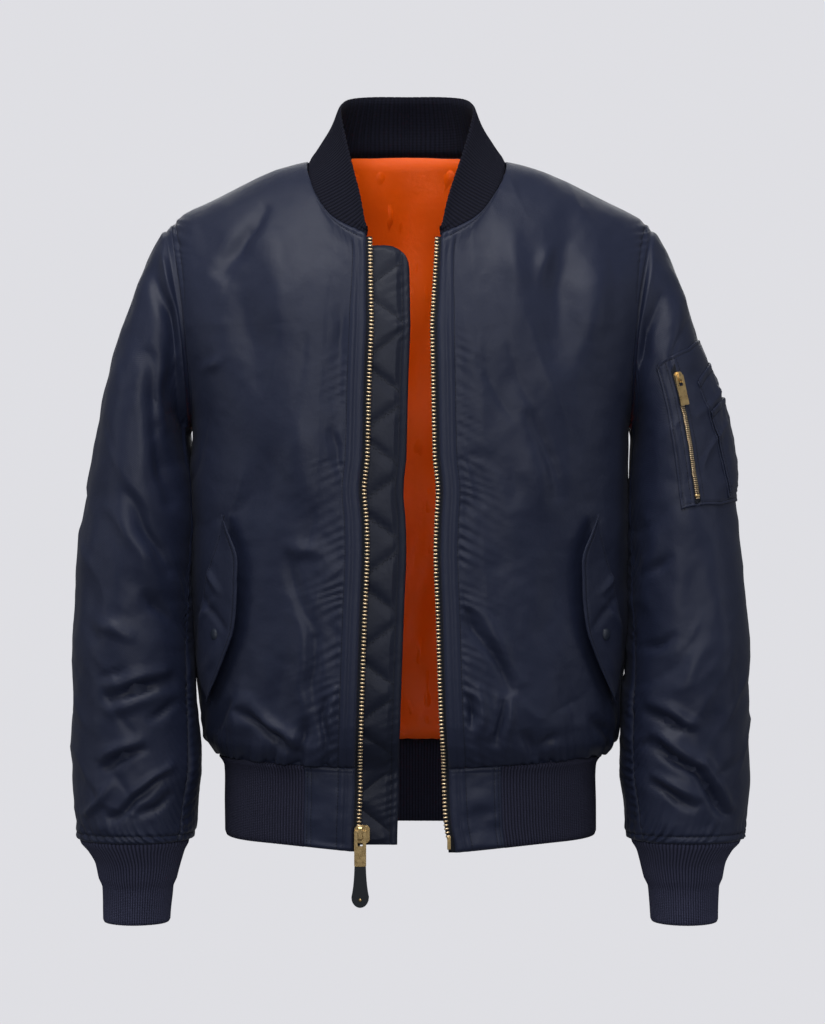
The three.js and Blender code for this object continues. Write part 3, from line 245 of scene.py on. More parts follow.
FRONT_CREASES = {
    LEFT: creases([
        (-143, -58, -182, -118, 9, -4.2), (-167, -137, -148, -220, 18, -3.6), (-131, -101, -125, -171, 17, 3),
        (-197, -216, -183, -202, 6, 1.6), (-76, -278, -62, -317, 5, -2), (-118, -387, -85, -391, 7, 2.2),
        (-116, -394, -95, -475, 7, -2.2), (-95, -475, -92, -537, 5, -2.6), (-106, -436, -103, -532, 10, 2),
        (-165, -545, -113, -584, 4.5, -3.2), (-154, -537, -106, -576, 7, 3), (-80, -537, -85, -580, 4, -3),
        (-72, -523, -77, -576, 5, 2.6), (-63, -552, -68, -582, 4, -2.2), (-101, -552, -110, -582, 5, -2.6),
        (-176, -537, -190, -566, 5, -3), (-164, -523, -171, -571, 8, 2.2), (-106, -244, -96, -360, 26, 2.6),
        (-135, -283, -142, -379, 16, -2.2), (-60, -130, -66, -260, 14, -1.6),
        (-120, -500, -132, -560, 10, -2),
    ]),
    RIGHT: creases([
        (152, -74, 143, -201, 15, -4), (97, -84, 102, -148, 15, 3), (135, -97, 127, -124, 7, 2),
        (182, -110, 172, -187, 14, 2.6), (119, -262, 143, -335, 6, -2.2), (105, -273, 132, -350, 12, 2),
        (53, -452, 97, -523, 5, -2.6), (61, -442, 105, -515, 8, 2.6), (58, -532, 58, -555, 4, -3),
        (67, -523, 68, -566, 5, 2.6), (89, -535, 84, -571, 4, -3), (97, -532, 94, -576, 5, 2.2),
        (112, -566, 119, -588, 4, -3), (138, -570, 123, -580, 4.5, -2.6), (179, -554, 195, -571, 6, -4),
        (67, -321, 86, -398, 14, -1.6), (143, -398, 129, -494, 16, -2.2), (150, -505, 160, -560, 9, -2),
        (60, -180, 66, -300, 13, 1.5),
    ]),
}
BACK_CREASES = creases([
    (-150, -90, -168, -180, 15, -3.5), (-96, -80, -104, -190, 18, 3), (120, -84, 138, -190, 16, -3.4),
    (84, -90, 92, -170, 16, 2.6), (-60, -300, -92, -420, 18, -2.4), (70, -280, 104, -400, 18, -2.6),
    (0, -180, 6, -330, 24, 1.8), (-150, -530, -116, -578, 5, -3), (-136, -520, -104, -570, 8, 2.6),
    (-40, -540, -34, -584, 5, -2.8), (-24, -530, -20, -580, 7, 2.2), (62, -536, 54, -582, 5, -3),
    (80, -524, 76, -578, 7, 2.4), (150, -528, 128, -574, 5, -3), (164, -520, 150, -572, 7, 2.2),
    (-180, -300, -170, -380, 12, 2.2), (184, -320, 172, -410, 12, -2.4), (10, -430, -14, -520, 14, -2),
])
LINING_CREASES = creases([
    (-40, 8, -14, -74, 12.2, -2.8), (-12, -14, 34, -52, 10.8, -2.2), (-30, 0, 6, -40, 9.5, 1.2),
    (12, -70, 20, -190, 8.1, -2.5), (24, -60, 30, -230, 9.5, 1.2), (30, -150, 18, -290, 6.8, -2.5),
    (8, -250, 24, -400, 8.1, -2.5), (30, -330, 12, -470, 8.1, -2.8), (18, -420, 28, -540, 6.8, 1.2),
    (6, -480, 26, -570, 6.8, -2.8), (-4, -530, 8, -580, 6.8, -2.5), (30, -500, 34, -580, 5.4, -2.5),
    (18, -545, 16, -584, 4.7, -2.5), (-24, -120, -10, -260, 12.2, -2.5), (50, -40, 70, -180, 16.2, -2.5),
    (-70, -60, -90, -200, 16.2, -2.5),
    (-60, -300, -40, -480, 16.2, -2.5), (80, -320, 64, -500, 16.2, -2.5), (120, -160, 128, -360, 18.9, -2.5),
    (-130, -180, -120, -380, 18.9, -2.5),
])
SLEEVE_FRONT_CREASES = {
    LEFT: creases([
        (-234, -160, -223, -300, 13, -5), (-244, -92, -231, -141, 6, 3), (-231, -141, -218, -194, 6, 3),
        (-254, -116, -225, -189, 7, -4), (-275, -175, -291, -311, 16, 2.6), (-254, -204, -246, -272, 9, -4),
        (-246, -272, -234, -340, 9, -4),
        (-273, -334, -237, -410, 6, -3.2), (-281, -350, -246, -428, 9, 3.2), (-254, -434, -231, -462, 5, -3),
        (-307, -457, -275, -474, 6, 2.6), (-291, -532, -233, -517, 6, -4.2), (-288, -520, -239, -508, 6, 2.6),
        (-293, -543, -244, -529, 6, 2.6), (-299, -511, -279, -503, 4, -2), (-254, -551, -229, -538, 4, -2.6),
        (-295, -602, -262, -582, 5, -3.8), (-299, -592, -266, -572, 6, 2.6), (-315, -645, -292, -616, 4, 2.6),
        (-290, -647, -236, -610, 5, -3.8), (-283, -638, -232, -600, 5, 2.6),
        (-263, -647, -232, -628, 4, -2.6),
        (-300, -400, -312, -470, 12, -2),
    ]),
    RIGHT: creases([
        (243, -146, 214, -214, 8, -4), (234, -101, 222, -155, 6, 3), (263, -145, 251, -204, 10, 2),
        (238, -360, 229, -438, 10, 2), (282, -399, 273, -477, 14, -2), (255, -474, 225, -487, 4.5, -2.6),
        (251, -399, 230, -412, 5, -2), (234, -548, 273, -566, 5, -3.2), (238, -538, 277, -557, 6, 2.6),
        (232, -578, 279, -602, 5, -4.4), (279, -602, 304, -645, 5, -4.4), (238, -570, 285, -594, 6, 3.2),
        (285, -594, 310, -638, 6, 3.2), (236, -616, 274, -636, 5, -3), (239, -607, 278, -627, 5, 2.2),
        (304, -438, 307, -535, 12, 1.6), (290, -480, 262, -520, 8, 1.8), (300, -500, 296, -590, 10, -1.6),
    ]),
}
SLEEVE_BACK_CREASES = creases([
    (236, -120, 262, -200, 10, -3), (250, -110, 278, -190, 9, 2.6), (300, -400, 250, -440, 8, -3.6),
    (306, -416, 254, -456, 8, 2.8), (296, -450, 244, -486, 7, -3.2), (310, -520, 262, -546, 7, -3),
    (304, -536, 256, -560, 7, 2.6), (300, -600, 250, -620, 6, -3), (286, -640, 244, -624, 6, 2.4),
])


def soft_noise(x: Array, y: Array | float, pitch: float, seed: int) -> Array:
    """Smooth noise from -1 to 1.

    Formula: random values on a square lattice of that pitch, blended between by the soft step.

    Args:
        x: places across, in mm.
        y: places along, in mm.
        pitch: the lattice's pitch in mm.
        seed: picks the random values.

    Returns:
        The noise at those places.
    """
    side = 64
    lattice = np.random.default_rng(seed).uniform(-1, 1, (side, side))
    gx, gy = np.broadcast_arrays(np.asarray(x, float) / pitch, np.asarray(y, float) / pitch)
    ix, iy = np.floor(gx).astype(int), np.floor(gy).astype(int)
    fx, fy = smooth(gx - ix), smooth(gy - iy)
    low = mix(lattice[ix % side, iy % side], lattice[(ix + 1) % side, iy % side], fx)
    high = mix(lattice[ix % side, (iy + 1) % side], lattice[(ix + 1) % side, (iy + 1) % side], fx)
    return mix(low, high, fy)


def crease_height(rows: Sequence[Crease], x: Array, z: Array, seed: int) -> Array:
    """Height of a table of creases.

    Formula: for each crease a bell of the distance to its line, lower towards the line's ends, at places
    that soft noise has moved a little, so that no crease is quite straight.

    Args:
        rows: the creases.
        x: places across, in mm.
        z: places up, in mm.
        seed: picks the noise.

    Returns:
        The height in mm.
    """
    x = x + 3.5 * soft_noise(x, z, 26, seed)
    z = z + 3.5 * soft_noise(x, z, 22, seed + 1)
    total = np.zeros_like(x)
    for row in rows:
        dx, dz = row.x1 - row.x0, row.z1 - row.z0
        t = np.clip(((x - row.x0) * dx + (z - row.z0) * dz) / (dx * dx + dz * dz), 0, 1)
        distance = np.hypot(x - row.x0 - t * dx, z - row.z0 - t * dz)
        total += row.rise * (0.45 + 0.55 * np.sin(math.pi * t)) * bump(distance, row.wide)
    return CREASE_DEPTH * total


def fold_lines(x: Array, z: Array, lean: float, seed: int) -> Array:
    """Long narrow folds that come and go, leaning by an angle in degrees.

    Formula: on axes turned by the angle, one less the size of noise drawn out along the second axis, to
    the fourth power, stands up where that noise crosses zero; a second one is taken away; both fade
    with broader noise.

    Args:
        x: places across, in mm.
        z: places up, in mm.
        lean: how far the folds lean from upright.
        seed: picks the noise.

    Returns:
        The height in mm.
    """
    c, s = math.cos(math.radians(lean)), math.sin(math.radians(lean))
    across, along = x * c + z * s, z * c - x * s
    across = across + 9 * soft_noise(across, along, 60, seed + 4)
    ridge = (1 - np.abs(soft_noise(across, 0.36 * along, 27, seed))) ** 4
    trough = (1 - np.abs(soft_noise(across, 0.36 * along, 31, seed + 1))) ** 5
    return (1.9 * ridge * smooth(0.35 + 1.3 * soft_noise(across, along, 62, seed + 2))
            - 1.7 * trough * smooth(0.35 + 1.3 * soft_noise(across, along, 55, seed + 3)))


@dataclass(frozen=True)
class Pucker:
    """Small gathers across a line of sewing."""

    pitch: float = 9.0
    reach: float = 9.0
    depth: float = 0.8
    slant: float = 0.4
    seed: int = 1

    def height(self, distance: Array, along: Array) -> Array:
        """Waves along the line that fade with distance from it, uneven in pitch and in depth."""
        phase = (along + self.slant * distance) / self.pitch
        phase = phase + 0.55 * soft_noise(along, 0 * along, 2.6 * self.pitch, self.seed)
        size = 0.5 + 0.5 * soft_noise(along, 0.4 * distance, 1.9 * self.pitch, self.seed + 1)
        return self.depth * size * np.cos(2 * math.pi * phase) * np.exp(-np.abs(distance) / self.reach)


def groove(distance: Array, line: float, depth: float = 0.6, wide: float = 1.5) -> Array:
    """A soft groove at a distance from a seam."""
    return -depth * bump(distance - line, wide)


def clustered(count: int, strength: float = 0.55) -> Array:
    """Places from 0 to 1 that lie closer together at both ends."""
    s = np.linspace(0, 1, count + 1)
    return s - strength * np.sin(2 * math.pi * s) / (2 * math.pi)


def armhole(angle: Array) -> Array:
    """The armhole seam: an ellipse that leans and bows, by degrees from the shoulder tip past the front."""
    c, s = np.cos(np.radians(angle)), np.sin(np.radians(angle))
    return stack(229.5 + 11.5 * c - 7 * s * s, 2.5 + 2.5 * c - 72 * s, CHEST_Z + ARMHOLE_RISE * c)


def armhole_at(facing: int, z: Array) -> Array:
    """The armhole seam's point at a height, in front or behind."""
    turn = np.degrees(np.arccos(np.clip((z - CHEST_Z) / ARMHOLE_RISE, -1, 1)))
    return armhole(turn if facing < 0 else 360 - turn)


def edge_x(side: int, z: Array) -> Array:
    """Distance of a front's edge from the middle."""
    return ZIP.at(WORDS[side], z) + PLACKET


def body_row(side: int, facing: int, u: Array, z: Array) -> Array:
    """A torso row from its middle or zip edge (u 0) to the side seam or armhole (u 1).

    Formula: x follows a sine to the half width, y the depth times one less a power of one less the
    cosine; above the underarm the row is cut where it meets the armhole seam.

    Args:
        side: LEFT or RIGHT.
        facing: -1 in front, 1 behind.
        u: share of the way to the outer edge.
        z: the height in mm.

    Returns:
        The points.
    """
    u, z = np.broadcast_arrays(np.asarray(u, float), np.asarray(z, float))
    start = edge_x(side, z) if facing < 0 else np.zeros_like(z)
    depth = BODY.at("front" if facing < 0 else "back", z)
    half, power = BODY.at("half", z), BODY.at("square", z)

    def curve(angle: Array) -> Array:
        """A point of the row at an angle."""
        side_way = start + (half - start) * np.sin(angle)
        return stack(side_way, facing * depth * (1 - (1 - np.cos(angle)) ** power), z)

    end = armhole_at(facing, z)
    last = np.arccos(1 - (1 - np.clip(np.abs(end[..., 1]) / depth, 0, 1)) ** (1 / power))
    low = z <= UNDERARM_Z
    points = curve(np.where(low, u * math.pi / 2, u * last))
    points += np.where(low, 0, u ** 3)[..., None] * (end - curve(last))
    points[..., 0] *= side
    return points


def waist_seam_z(x: Array, facing: int) -> Array:
    """Height of the waist seam, which drops towards the open front."""
    if facing > 0:
        return np.full_like(np.asarray(x, float), WAIST_SEAM_Z)
    return WAIST_SEAM_Z - WAIST_SEAM_DROP * (1 - np.abs(x) / 187)


def hem_z(x: Array) -> Array:
    """Height of the front's hem, which hangs lower towards the opening."""
    return HEM_Z - HEM_DROOP * smooth(1 - np.abs(x) / 150)


def neck_seam(side: int, row: Array, table: Table = NECK) -> Array:
    """Half of the neck seam, or of the collar's top edge, at a row of its table."""
    narrower = 6 * smooth((row - SHOULDER_ROW) / (NECK_END_ROW - SHOULDER_ROW)) if side == RIGHT else 0
    x = side * (table.at_row("x", row) - narrower) + NECK_SHIFT
    return stack(x, table.at_row("y", row), table.at_row("z", row))


def panel_top(side: int, facing: int, u: Array) -> Array:
    """The top boundary of a panel: the neck seam, then the shoulder seam.

    Formula: between the neck and the shoulder's tip a straight line, raised by a sine along it and by one
    that is drawn out to the tip.

    Args:
        side: LEFT or RIGHT.
        facing: -1 in front, 1 behind.
        u: share of the way to the shoulder's tip.

    Returns:
        The points.
    """
    neck_u = FRONT_NECK_U if facing < 0 else BACK_NECK_U
    share = np.clip(u / neck_u, 0, 1)
    row = mix(NECK_END_ROW, SHOULDER_ROW, share) if facing < 0 else SHOULDER_ROW * share
    neck = neck_seam(side, row)
    w = np.clip((u - neck_u) / (1 - neck_u), 0, 1)[..., None]
    start = neck_seam(side, np.array(float(SHOULDER_ROW)))
    tip = np.array(SHOULDER_TIP) * (side, 1, 1)
    shoulder = mix(start, tip, w) + np.array([0, 0, SHOULDER_CROWN]) * np.sin(math.pi * w ** 0.8)
    shoulder = shoulder + np.array([0, 0, SHOULDER_END_LIFT[side]]) * np.sin(math.pi * w ** 6)
    return np.where((u <= neck_u)[..., None], neck, shoulder)


def torso_row(side: int, facing: int, u: Array, v: Array) -> Array:
    """A point of a panel between the waist seam and the chest.

    Formula: like a torso row, but a row stands lower near the middle than at its outer end, where it
    follows the armhole seam, so that the grid's cells stay open at the underarm.

    Args:
        side: LEFT or RIGHT.
        facing: -1 in front, 1 behind.
        u: share of the way to the outer edge.
        v: share of the way up, CHEST_V at the chest.

    Returns:
        The points.
    """
    seam_x = body_row(side, facing, u, np.full_like(u, WAIST_SEAM_Z))[..., 0]
    low = waist_seam_z(seam_x, facing) + GAP / 2
    below = np.clip(v / UNDERARM_V, 0, 1) ** LOW_ROWS_POWER
    rest = np.clip(v - UNDERARM_V, 0, CHEST_V - UNDERARM_V)
    share = rest / (CHEST_V - UNDERARM_V)
    outer_z = np.where(v < UNDERARM_V, mix(low, UNDERARM_Z, below),
                       CHEST_Z - ARMHOLE_RISE * np.cos(share * math.pi / 2))
    inner_z = np.where(v < UNDERARM_V, mix(low, INNER_Z, below),
                       INNER_Z + 882 * rest - 1448 * rest * rest)
    z = mix(inner_z, outer_z, u ** 3)
    start = edge_x(side, z) if facing < 0 else np.zeros_like(z)
    name = "front" if facing < 0 else "back"

    def curve(angle: Array, at: Array) -> Array:
        """A point of the row at an angle and a height."""
        side_way = start + (BODY.at("half", at) - start) * np.sin(angle)
        round_off = (1 - np.cos(angle)) ** BODY.at("square", at)
        return stack(side_way, facing * BODY.at(name, at) * (1 - round_off), z)

    end = armhole_at(facing, outer_z)
    reach = np.clip(np.abs(end[..., 1]) / BODY.at(name, outer_z), 0, 1)
    last = np.arccos(1 - (1 - reach) ** (1 / BODY.at("square", outer_z)))
    offset = end - curve(last, outer_z)
    offset[..., 2] = 0
    fade = smooth((v - 0.15) / 0.35) * u ** 3
    points = curve(u * last, z) + fade[..., None] * offset
    points[..., 0] *= side
    return points


def panel_point(side: int, facing: int, u: Array, v: Array) -> Array:
    """A point of a front (facing -1) or of half the back (facing 1).

    Formula: torso rows up to the chest; above it an arc from the chest row past a knee that stands out
    from the top boundary, to that boundary, with its last part drawn onto the armhole seam.

    Args:
        side: LEFT or RIGHT.
        facing: -1 in front, 1 behind.
        u: share of the way to the outer edge.
        v: share of the way up from the waist seam.

    Returns:
        The points.
    """
    u, v = np.broadcast_arrays(np.asarray(u, float), np.asarray(v, float))
    rows = torso_row(side, facing, u, v)
    turn = np.clip((v - CHEST_V) / (1 - CHEST_V), 0, 1) * math.pi / 2
    table = FRONT_SHOULDER if facing < 0 else BACK_SHOULDER

    def over(at: Array) -> Array:
        """The arc from the chest to the top boundary."""
        chest = body_row(side, facing, at, np.full_like(at, CHEST_Z))
        top = panel_top(side, facing, at)
        knee = stack(mix(top[..., 0], chest[..., 0], 0.35), top[..., 1] + facing * table.at("out", at),
                     top[..., 2] - table.at("drop", at))
        return (chest + np.sin(turn)[..., None] * (knee - chest)
                + (1 - np.cos(turn))[..., None] * (top - knee))

    angle = np.degrees(turn)
    seam = armhole(90 - angle if facing < 0 else 270 + angle)
    seam[..., 0] *= side
    upper = over(u) + (u ** 4)[..., None] * (seam - over(np.ones_like(u)))
    return np.where((v <= CHEST_V)[..., None], rows, upper)


def front_surface(side: int) -> Surface:
    """The cloth of a front, which laps the back a little at the side and shoulder seams."""
    return lambda u, v: panel_point(side, -1, u, v) + np.array([0, GAP, 0]) * u[..., None] ** 8


def back_surface(u: Array, v: Array) -> Array:
    """The cloth of the back, u from -1 at the left to 1 at the right."""
    halves = [panel_point(side, 1, np.abs(u), v) for side in (LEFT, RIGHT)]
    points = np.where((np.asarray(u) < 0)[..., None], *halves)
    return points - np.array([0, GAP, 0]) * np.abs(u)[..., None] ** 8


def sleeve_point(side: int, angle: Array, t: Array) -> Array:
    """A point of a sleeve, or of the strip of it that is tucked in under the body.

    Formula: below t 0 it runs straight on from the armhole, and leans inwards under the arm.

    Args:
        side: LEFT or RIGHT.
        angle: degrees round the sleeve.
        t: share of the way down, below zero in the tucked strip.

    Returns:
        The points.
    """
    start = sleeve_ring(side, angle, np.zeros_like(t))
    ahead = sleeve_ring(side, angle, np.full_like(t, 0.02))
    lean = 0.9 * smooth((CHEST_Z - 20 - start[..., 2]) / 40)[..., None] * np.array([side, 0, 0])
    reach = t / -SLEEVE_TUCK_ROWS[0] * SLEEVE_TUCK
    tucked = start + unit(unit(ahead - start) + lean) * reach[..., None]
    return np.where((t < 0)[..., None], tucked, sleeve_ring(side, angle, np.maximum(t, 0)))


def sleeve_ring(side: int, angle: Array, t: Array) -> Array:
    """A point of a sleeve: leaning ellipses from the armhole (t 0) to the cuff (t 1)."""
    row = t * (len(SLEEVE.columns["row"]) - 1)
    c, s = np.cos(np.radians(angle)), np.sin(np.radians(angle))
    near = np.clip(1 - row / 3, 0, 1)
    x = mix(SLEEVE.at_row("inX", row), SLEEVE.at_row("outX", row), (1 + c) / 2) - 7 * near * s * s + GAP
    x = x + SLEEVE_HEAD_LIFT[side] * (1 + c) / 2 * bump(row - 0.7, 1.2)
    y = SLEEVE.at_row("midY", row) + 2.5 * near * c - SLEEVE.at_row("depth", row) * s
    z = mix(SLEEVE.at_row("inZ", row), SLEEVE.at_row("outZ", row), (1 + c) / 2)
    return stack(side * x, y, z)


def top_angle(u: Array, t: Array) -> Array:
    """The angle of a place on the sleeve's top piece, from its back seam to its front seam."""
    return mix(SLEEVE_SEAMS.at("back", t) - 360 - GAP, SLEEVE_SEAMS.at("front", t) + GAP, u)


def under_angle(u: Array, t: Array) -> Array:
    """The angle of a place on the sleeve's under piece, from its front seam to its back seam."""
    return mix(SLEEVE_SEAMS.at("front", t) - GAP, SLEEVE_SEAMS.at("back", t) + GAP, u)


def cuff_point(side: int, angle: Array, z: Array) -> Array:
    """A point of a cuff: level ellipses that narrow quickly and then hang straight."""
    c, s = np.cos(np.radians(angle)), np.sin(np.radians(angle))
    x = mix(CUFF.at("inX", -z), CUFF.at("outX", -z), (1 + c) / 2) + GAP
    return stack(side * x, CUFF_MID_Y - CUFF.at("depth", -z) * s, z)


def collar_point(u: Array, v: Array) -> Array:
    """A point of the collar, u from -1 at the left front end past the back, v up its height.

    Formula: a straight line from the neck seam to the top edge, with a swell behind and a hollow at the
    sides that follow a sine, and a small inset at the seam.

    Args:
        u: place along the collar.
        v: share of its height, below zero in the strip that is tucked in.

    Returns:
        The points.
    """
    u, v = np.broadcast_arrays(np.asarray(u, float), np.asarray(v, float))
    row = np.abs(u) * NECK_END_ROW
    ends = []
    for table in (NECK, COLLAR_TOP):
        pair = [neck_seam(side, row, table) for side in (LEFT, RIGHT)]
        ends.append(np.where((u < 0)[..., None], *pair))
    low, high = ends
    height = np.linalg.norm(high - low, axis=-1)
    points = mix(low, high, np.maximum(v, 0)[..., None])
    bulge = mix(3.5, -4.5, smooth(np.abs(u) / 0.45))
    swell = bulge * np.sin(math.pi * np.maximum(v, 0)) * np.minimum(1, height / 40)
    swell = swell - 2.2 * (1 - smooth(v / 0.4))
    away = unit(stack(points[..., 0] - NECK_SHIFT, points[..., 1], np.zeros_like(v)))
    tuck = unit(low - high) * (np.maximum(0, -v) * 60)[..., None]
    return points + away * swell[..., None] + np.array([0, 0, 1.5]) + tuck


def strip_point(side: int, inward: Array, w: Array) -> Array:
    """A point of the strip along a front's edge.

    Args:
        side: LEFT or RIGHT.
        inward: mm from the edge into the front, below zero past the edge.
        w: from -1 at the hem past 0 at the waist seam to 1 at the neck.

    Returns:
        The points.
    """
    inward, w = np.broadcast_arrays(np.asarray(inward, float), np.asarray(w, float))
    u = np.maximum(0, inward) / EDGE_ARC
    seam = waist_seam_z(edge_x(side, np.full_like(w, WAIST_SEAM_Z)), -1)
    hem = hem_z(edge_x(side, np.full_like(w, HEM_Z)))
    band = body_row(side, -1, u, mix(seam, hem, np.clip(-w, 0, 1)))
    points = np.where((w < 0)[..., None], band, panel_point(side, -1, u, np.clip(w, 0, 1)))
    points[..., 0] += side * np.minimum(0, inward)
    return points


def front_place(side: int, x: Array, z: Array) -> Array:
    """A front's u at a width and a height below the underarm."""
    edge = edge_x(side, z)
    return np.arcsin(np.clip((np.abs(x) - edge) / (BODY.at("half", z) - edge), 0, 1)) / (math.pi / 2)


class Side(Enum):
    """Which way a grid's normals are turned to face outwards."""

    KEEP = 1
    TURN = -1

    @classmethod
    def on(cls, side: int) -> "Side":
        """The turn of a grid whose columns run outwards on a side of the body."""
        return cls.KEEP if side == RIGHT else cls.TURN


@dataclass
class Patch:
    """A grid of points on a surface, with outward normals and distances in mm from its four edges."""

    points: Array
    normals: Array
    from_start: Array
    from_end: Array
    from_bottom: Array
    from_top: Array

    @classmethod
    def of(cls, surface: Surface, columns: Array, rows: Array, side: Side, rounds: int = 0) -> "Patch":
        """Works out a grid: the normal is the cross product of the grid's two directions.

        Args:
            surface: gives points from two parameters.
            columns: the first parameter's values.
            rows: the second parameter's values.
            side: which way the normals are turned.
            rounds: how often columns are averaged with their neighbours below the top edge.

        Returns:
            The patch.
        """
        u, v = np.meshgrid(columns, rows)
        points = surface(u, v)
        for _ in range(rounds):
            middle = (points[:, :-2] + 2 * points[:, 1:-1] + points[:, 2:]) / 4
            points[:, 1:-1] = mix(points[:, 1:-1], middle, smooth((0.985 - rows) / 0.09)[:, None, None])
        along = np.gradient(points, axis=1)
        up = np.gradient(points, axis=0)
        normals = unit(np.cross(along, up)) * side.value
        across = np.cumsum(np.linalg.norm(np.diff(points, axis=1, prepend=points[:, :1]), axis=-1), axis=1)
        rise = np.cumsum(np.linalg.norm(np.diff(points, axis=0, prepend=points[:1]), axis=-1), axis=0)
        return cls(points, normals, across, across[:, -1:] - across, rise, rise[-1:] - rise)

    def area(self) -> float:
        """The grid's area in square metres: half the cross product of each cell's diagonals."""
        p = self.points
        cells = np.cross(p[1:, 1:] - p[:-1, :-1], p[1:, :-1] - p[:-1, 1:])
        return float(np.linalg.norm(cells, axis=-1).sum() / 2 * MM * MM)

    def flat(self) -> tuple[float, float]:
        """The width and length in metres that the cut needs: the longest row and the longest column."""
        return float(self.from_start[:, -1].max() * MM), float(self.from_bottom[-1].max() * MM)

    def raised(self, height: Array | float) -> Array:
        """The points moved out along the normals."""
        return self.points + self.normals * np.broadcast_to(height, self.points.shape[:2])[..., None]

    def line(self, distance: Array, target: float, height: Array, rows: slice = slice(None)) -> "Line":
        """The line where a distance that grows along the rows reaches a target.

        Args:
            distance: a distance at each point, rising from column to column.
            target: the distance to find.
            height: the cloth's height at each point.
            rows: the rows to use.

        Returns:
            The line on the raised cloth.
        """
        points, normals, distance = self.raised(height)[rows], self.normals[rows], distance[rows]
        after = np.clip((distance >= target).argmax(axis=1), 1, distance.shape[1] - 1)
        row = np.arange(len(after))
        start, end = distance[row, after - 1], distance[row, after]
        share = np.clip((target - start) / np.maximum(end - start, 1e-6), 0, 1)[:, None]
        return Line(mix(points[row, after - 1], points[row, after], share),
                    unit(mix(normals[row, after - 1], normals[row, after], share)))

    def cropped(self, first: int, last: int) -> "Patch":
        """The columns from first up to last, with distances from the new edges."""
        start, end = self.from_start[:, first:last], self.from_end[:, first:last]
        return Patch(self.points[:, first:last], self.normals[:, first:last], start - start[:, :1],
                     end - end[:, -1:], self.from_bottom[:, first:last], self.from_top[:, first:last])

    def turned(self) -> "Patch":
        """The same patch with rows and columns swapped, for lines along a row."""
        flip = [np.swapaxes(a, 0, 1) for a in (self.points, self.normals)]
        return Patch(*flip, self.from_bottom.T, self.from_top.T, self.from_start.T, self.from_end.T)


@dataclass
class Line:
    """A path on cloth with the cloth's outward normals, in mm."""

    points: Array
    normals: Array

    def even(self, pitch: float, shift: float = 0.0) -> tuple[Array, Array, Array]:
        """Places a pitch apart along the path.

        Args:
            pitch: the spacing in mm.
            shift: how far the first place is from the start.

        Returns:
            Points, unit tangents and unit normals.
        """
        steps = np.linalg.norm(np.diff(self.points, axis=0), axis=-1)
        length = np.concatenate([[0], np.cumsum(steps)])
        places = np.arange(shift, length[-1], pitch)

        def read(values: Array, shift: float = 0.0) -> Array:
            """The values a little past the places."""
            return stack(*(np.interp(places + shift, length, values[:, i]) for i in range(3)))
        along = unit(read(self.points, 0.5) - read(self.points, -0.5))
        return read(self.points), along, unit(read(self.normals))


def new_object(name: str, points: Array, quads: Array, tris: Array,
               uv: Array | None = None) -> bpy.types.Object:
    """A smooth-shaded mesh object from whole arrays.

    Args:
        name: the object's name.
        points: vertices in mm.
        quads: rows of four vertex numbers.
        tris: rows of three vertex numbers.
        uv: a place for each vertex in the cloth's own mm, or None.

    Returns:
        The object, linked into the scene.
    """
    mesh = bpy.data.meshes.new(name)
    mesh.vertices.add(len(points))
    mesh.vertices.foreach_set("co", (points * MM).astype(np.float32).ravel())
    corners = np.concatenate([quads.ravel(), tris.ravel()]).astype(np.int32)
    starts = np.concatenate([np.arange(len(quads)) * 4, len(quads) * 4 + np.arange(len(tris)) * 3])
    mesh.loops.add(len(corners))
    mesh.loops.foreach_set("vertex_index", corners)
    mesh.polygons.add(len(starts))
    mesh.polygons.foreach_set("loop_start", starts.astype(np.int32))
    mesh.polygons.foreach_set("use_smooth", np.ones(len(starts), bool))
    if uv is not None:
        layer = mesh.uv_layers.new(name="cloth_mm")
        layer.data.foreach_set("uv", uv[corners].astype(np.float32).ravel())
    mesh.update(calc_edges=True)
    mesh.validate()
    obj = bpy.data.objects.new(name, mesh)
    bpy.context.scene.collection.objects.link(obj)
    return obj


def grid_quads(numbers: Array, flip: bool) -> Array:
    """The four corner numbers of each cell of a grid of vertex numbers."""
    a, b, c, d = numbers[:-1, :-1], numbers[:-1, 1:], numbers[1:, 1:], numbers[1:, :-1]
    order = (a, d, c, b) if flip else (a, b, c, d)
    return np.stack(order, axis=-1).reshape(-1, 4)


def rim_tris(fine: Array, coarse: Array, step: int) -> Array:
    """Triangles that close a wall between a fine edge and one with each step-th point.

    Args:
        fine: vertex numbers along the fine edge.
        coarse: vertex numbers along the coarse edge.
        step: how many fine cells each coarse one spans.

    Returns:
        Rows of three vertex numbers.
    """
    lead = fine[:-1].reshape(-1, step)
    follow = fine[1:].reshape(-1, step)
    fans = np.stack([follow, lead, np.repeat(coarse[:-1, None], step, axis=1)], axis=-1).reshape(-1, 3)
    caps = np.stack([coarse[:-1], coarse[1:], follow[:, -1]], axis=-1)
    return np.concatenate([fans, caps])


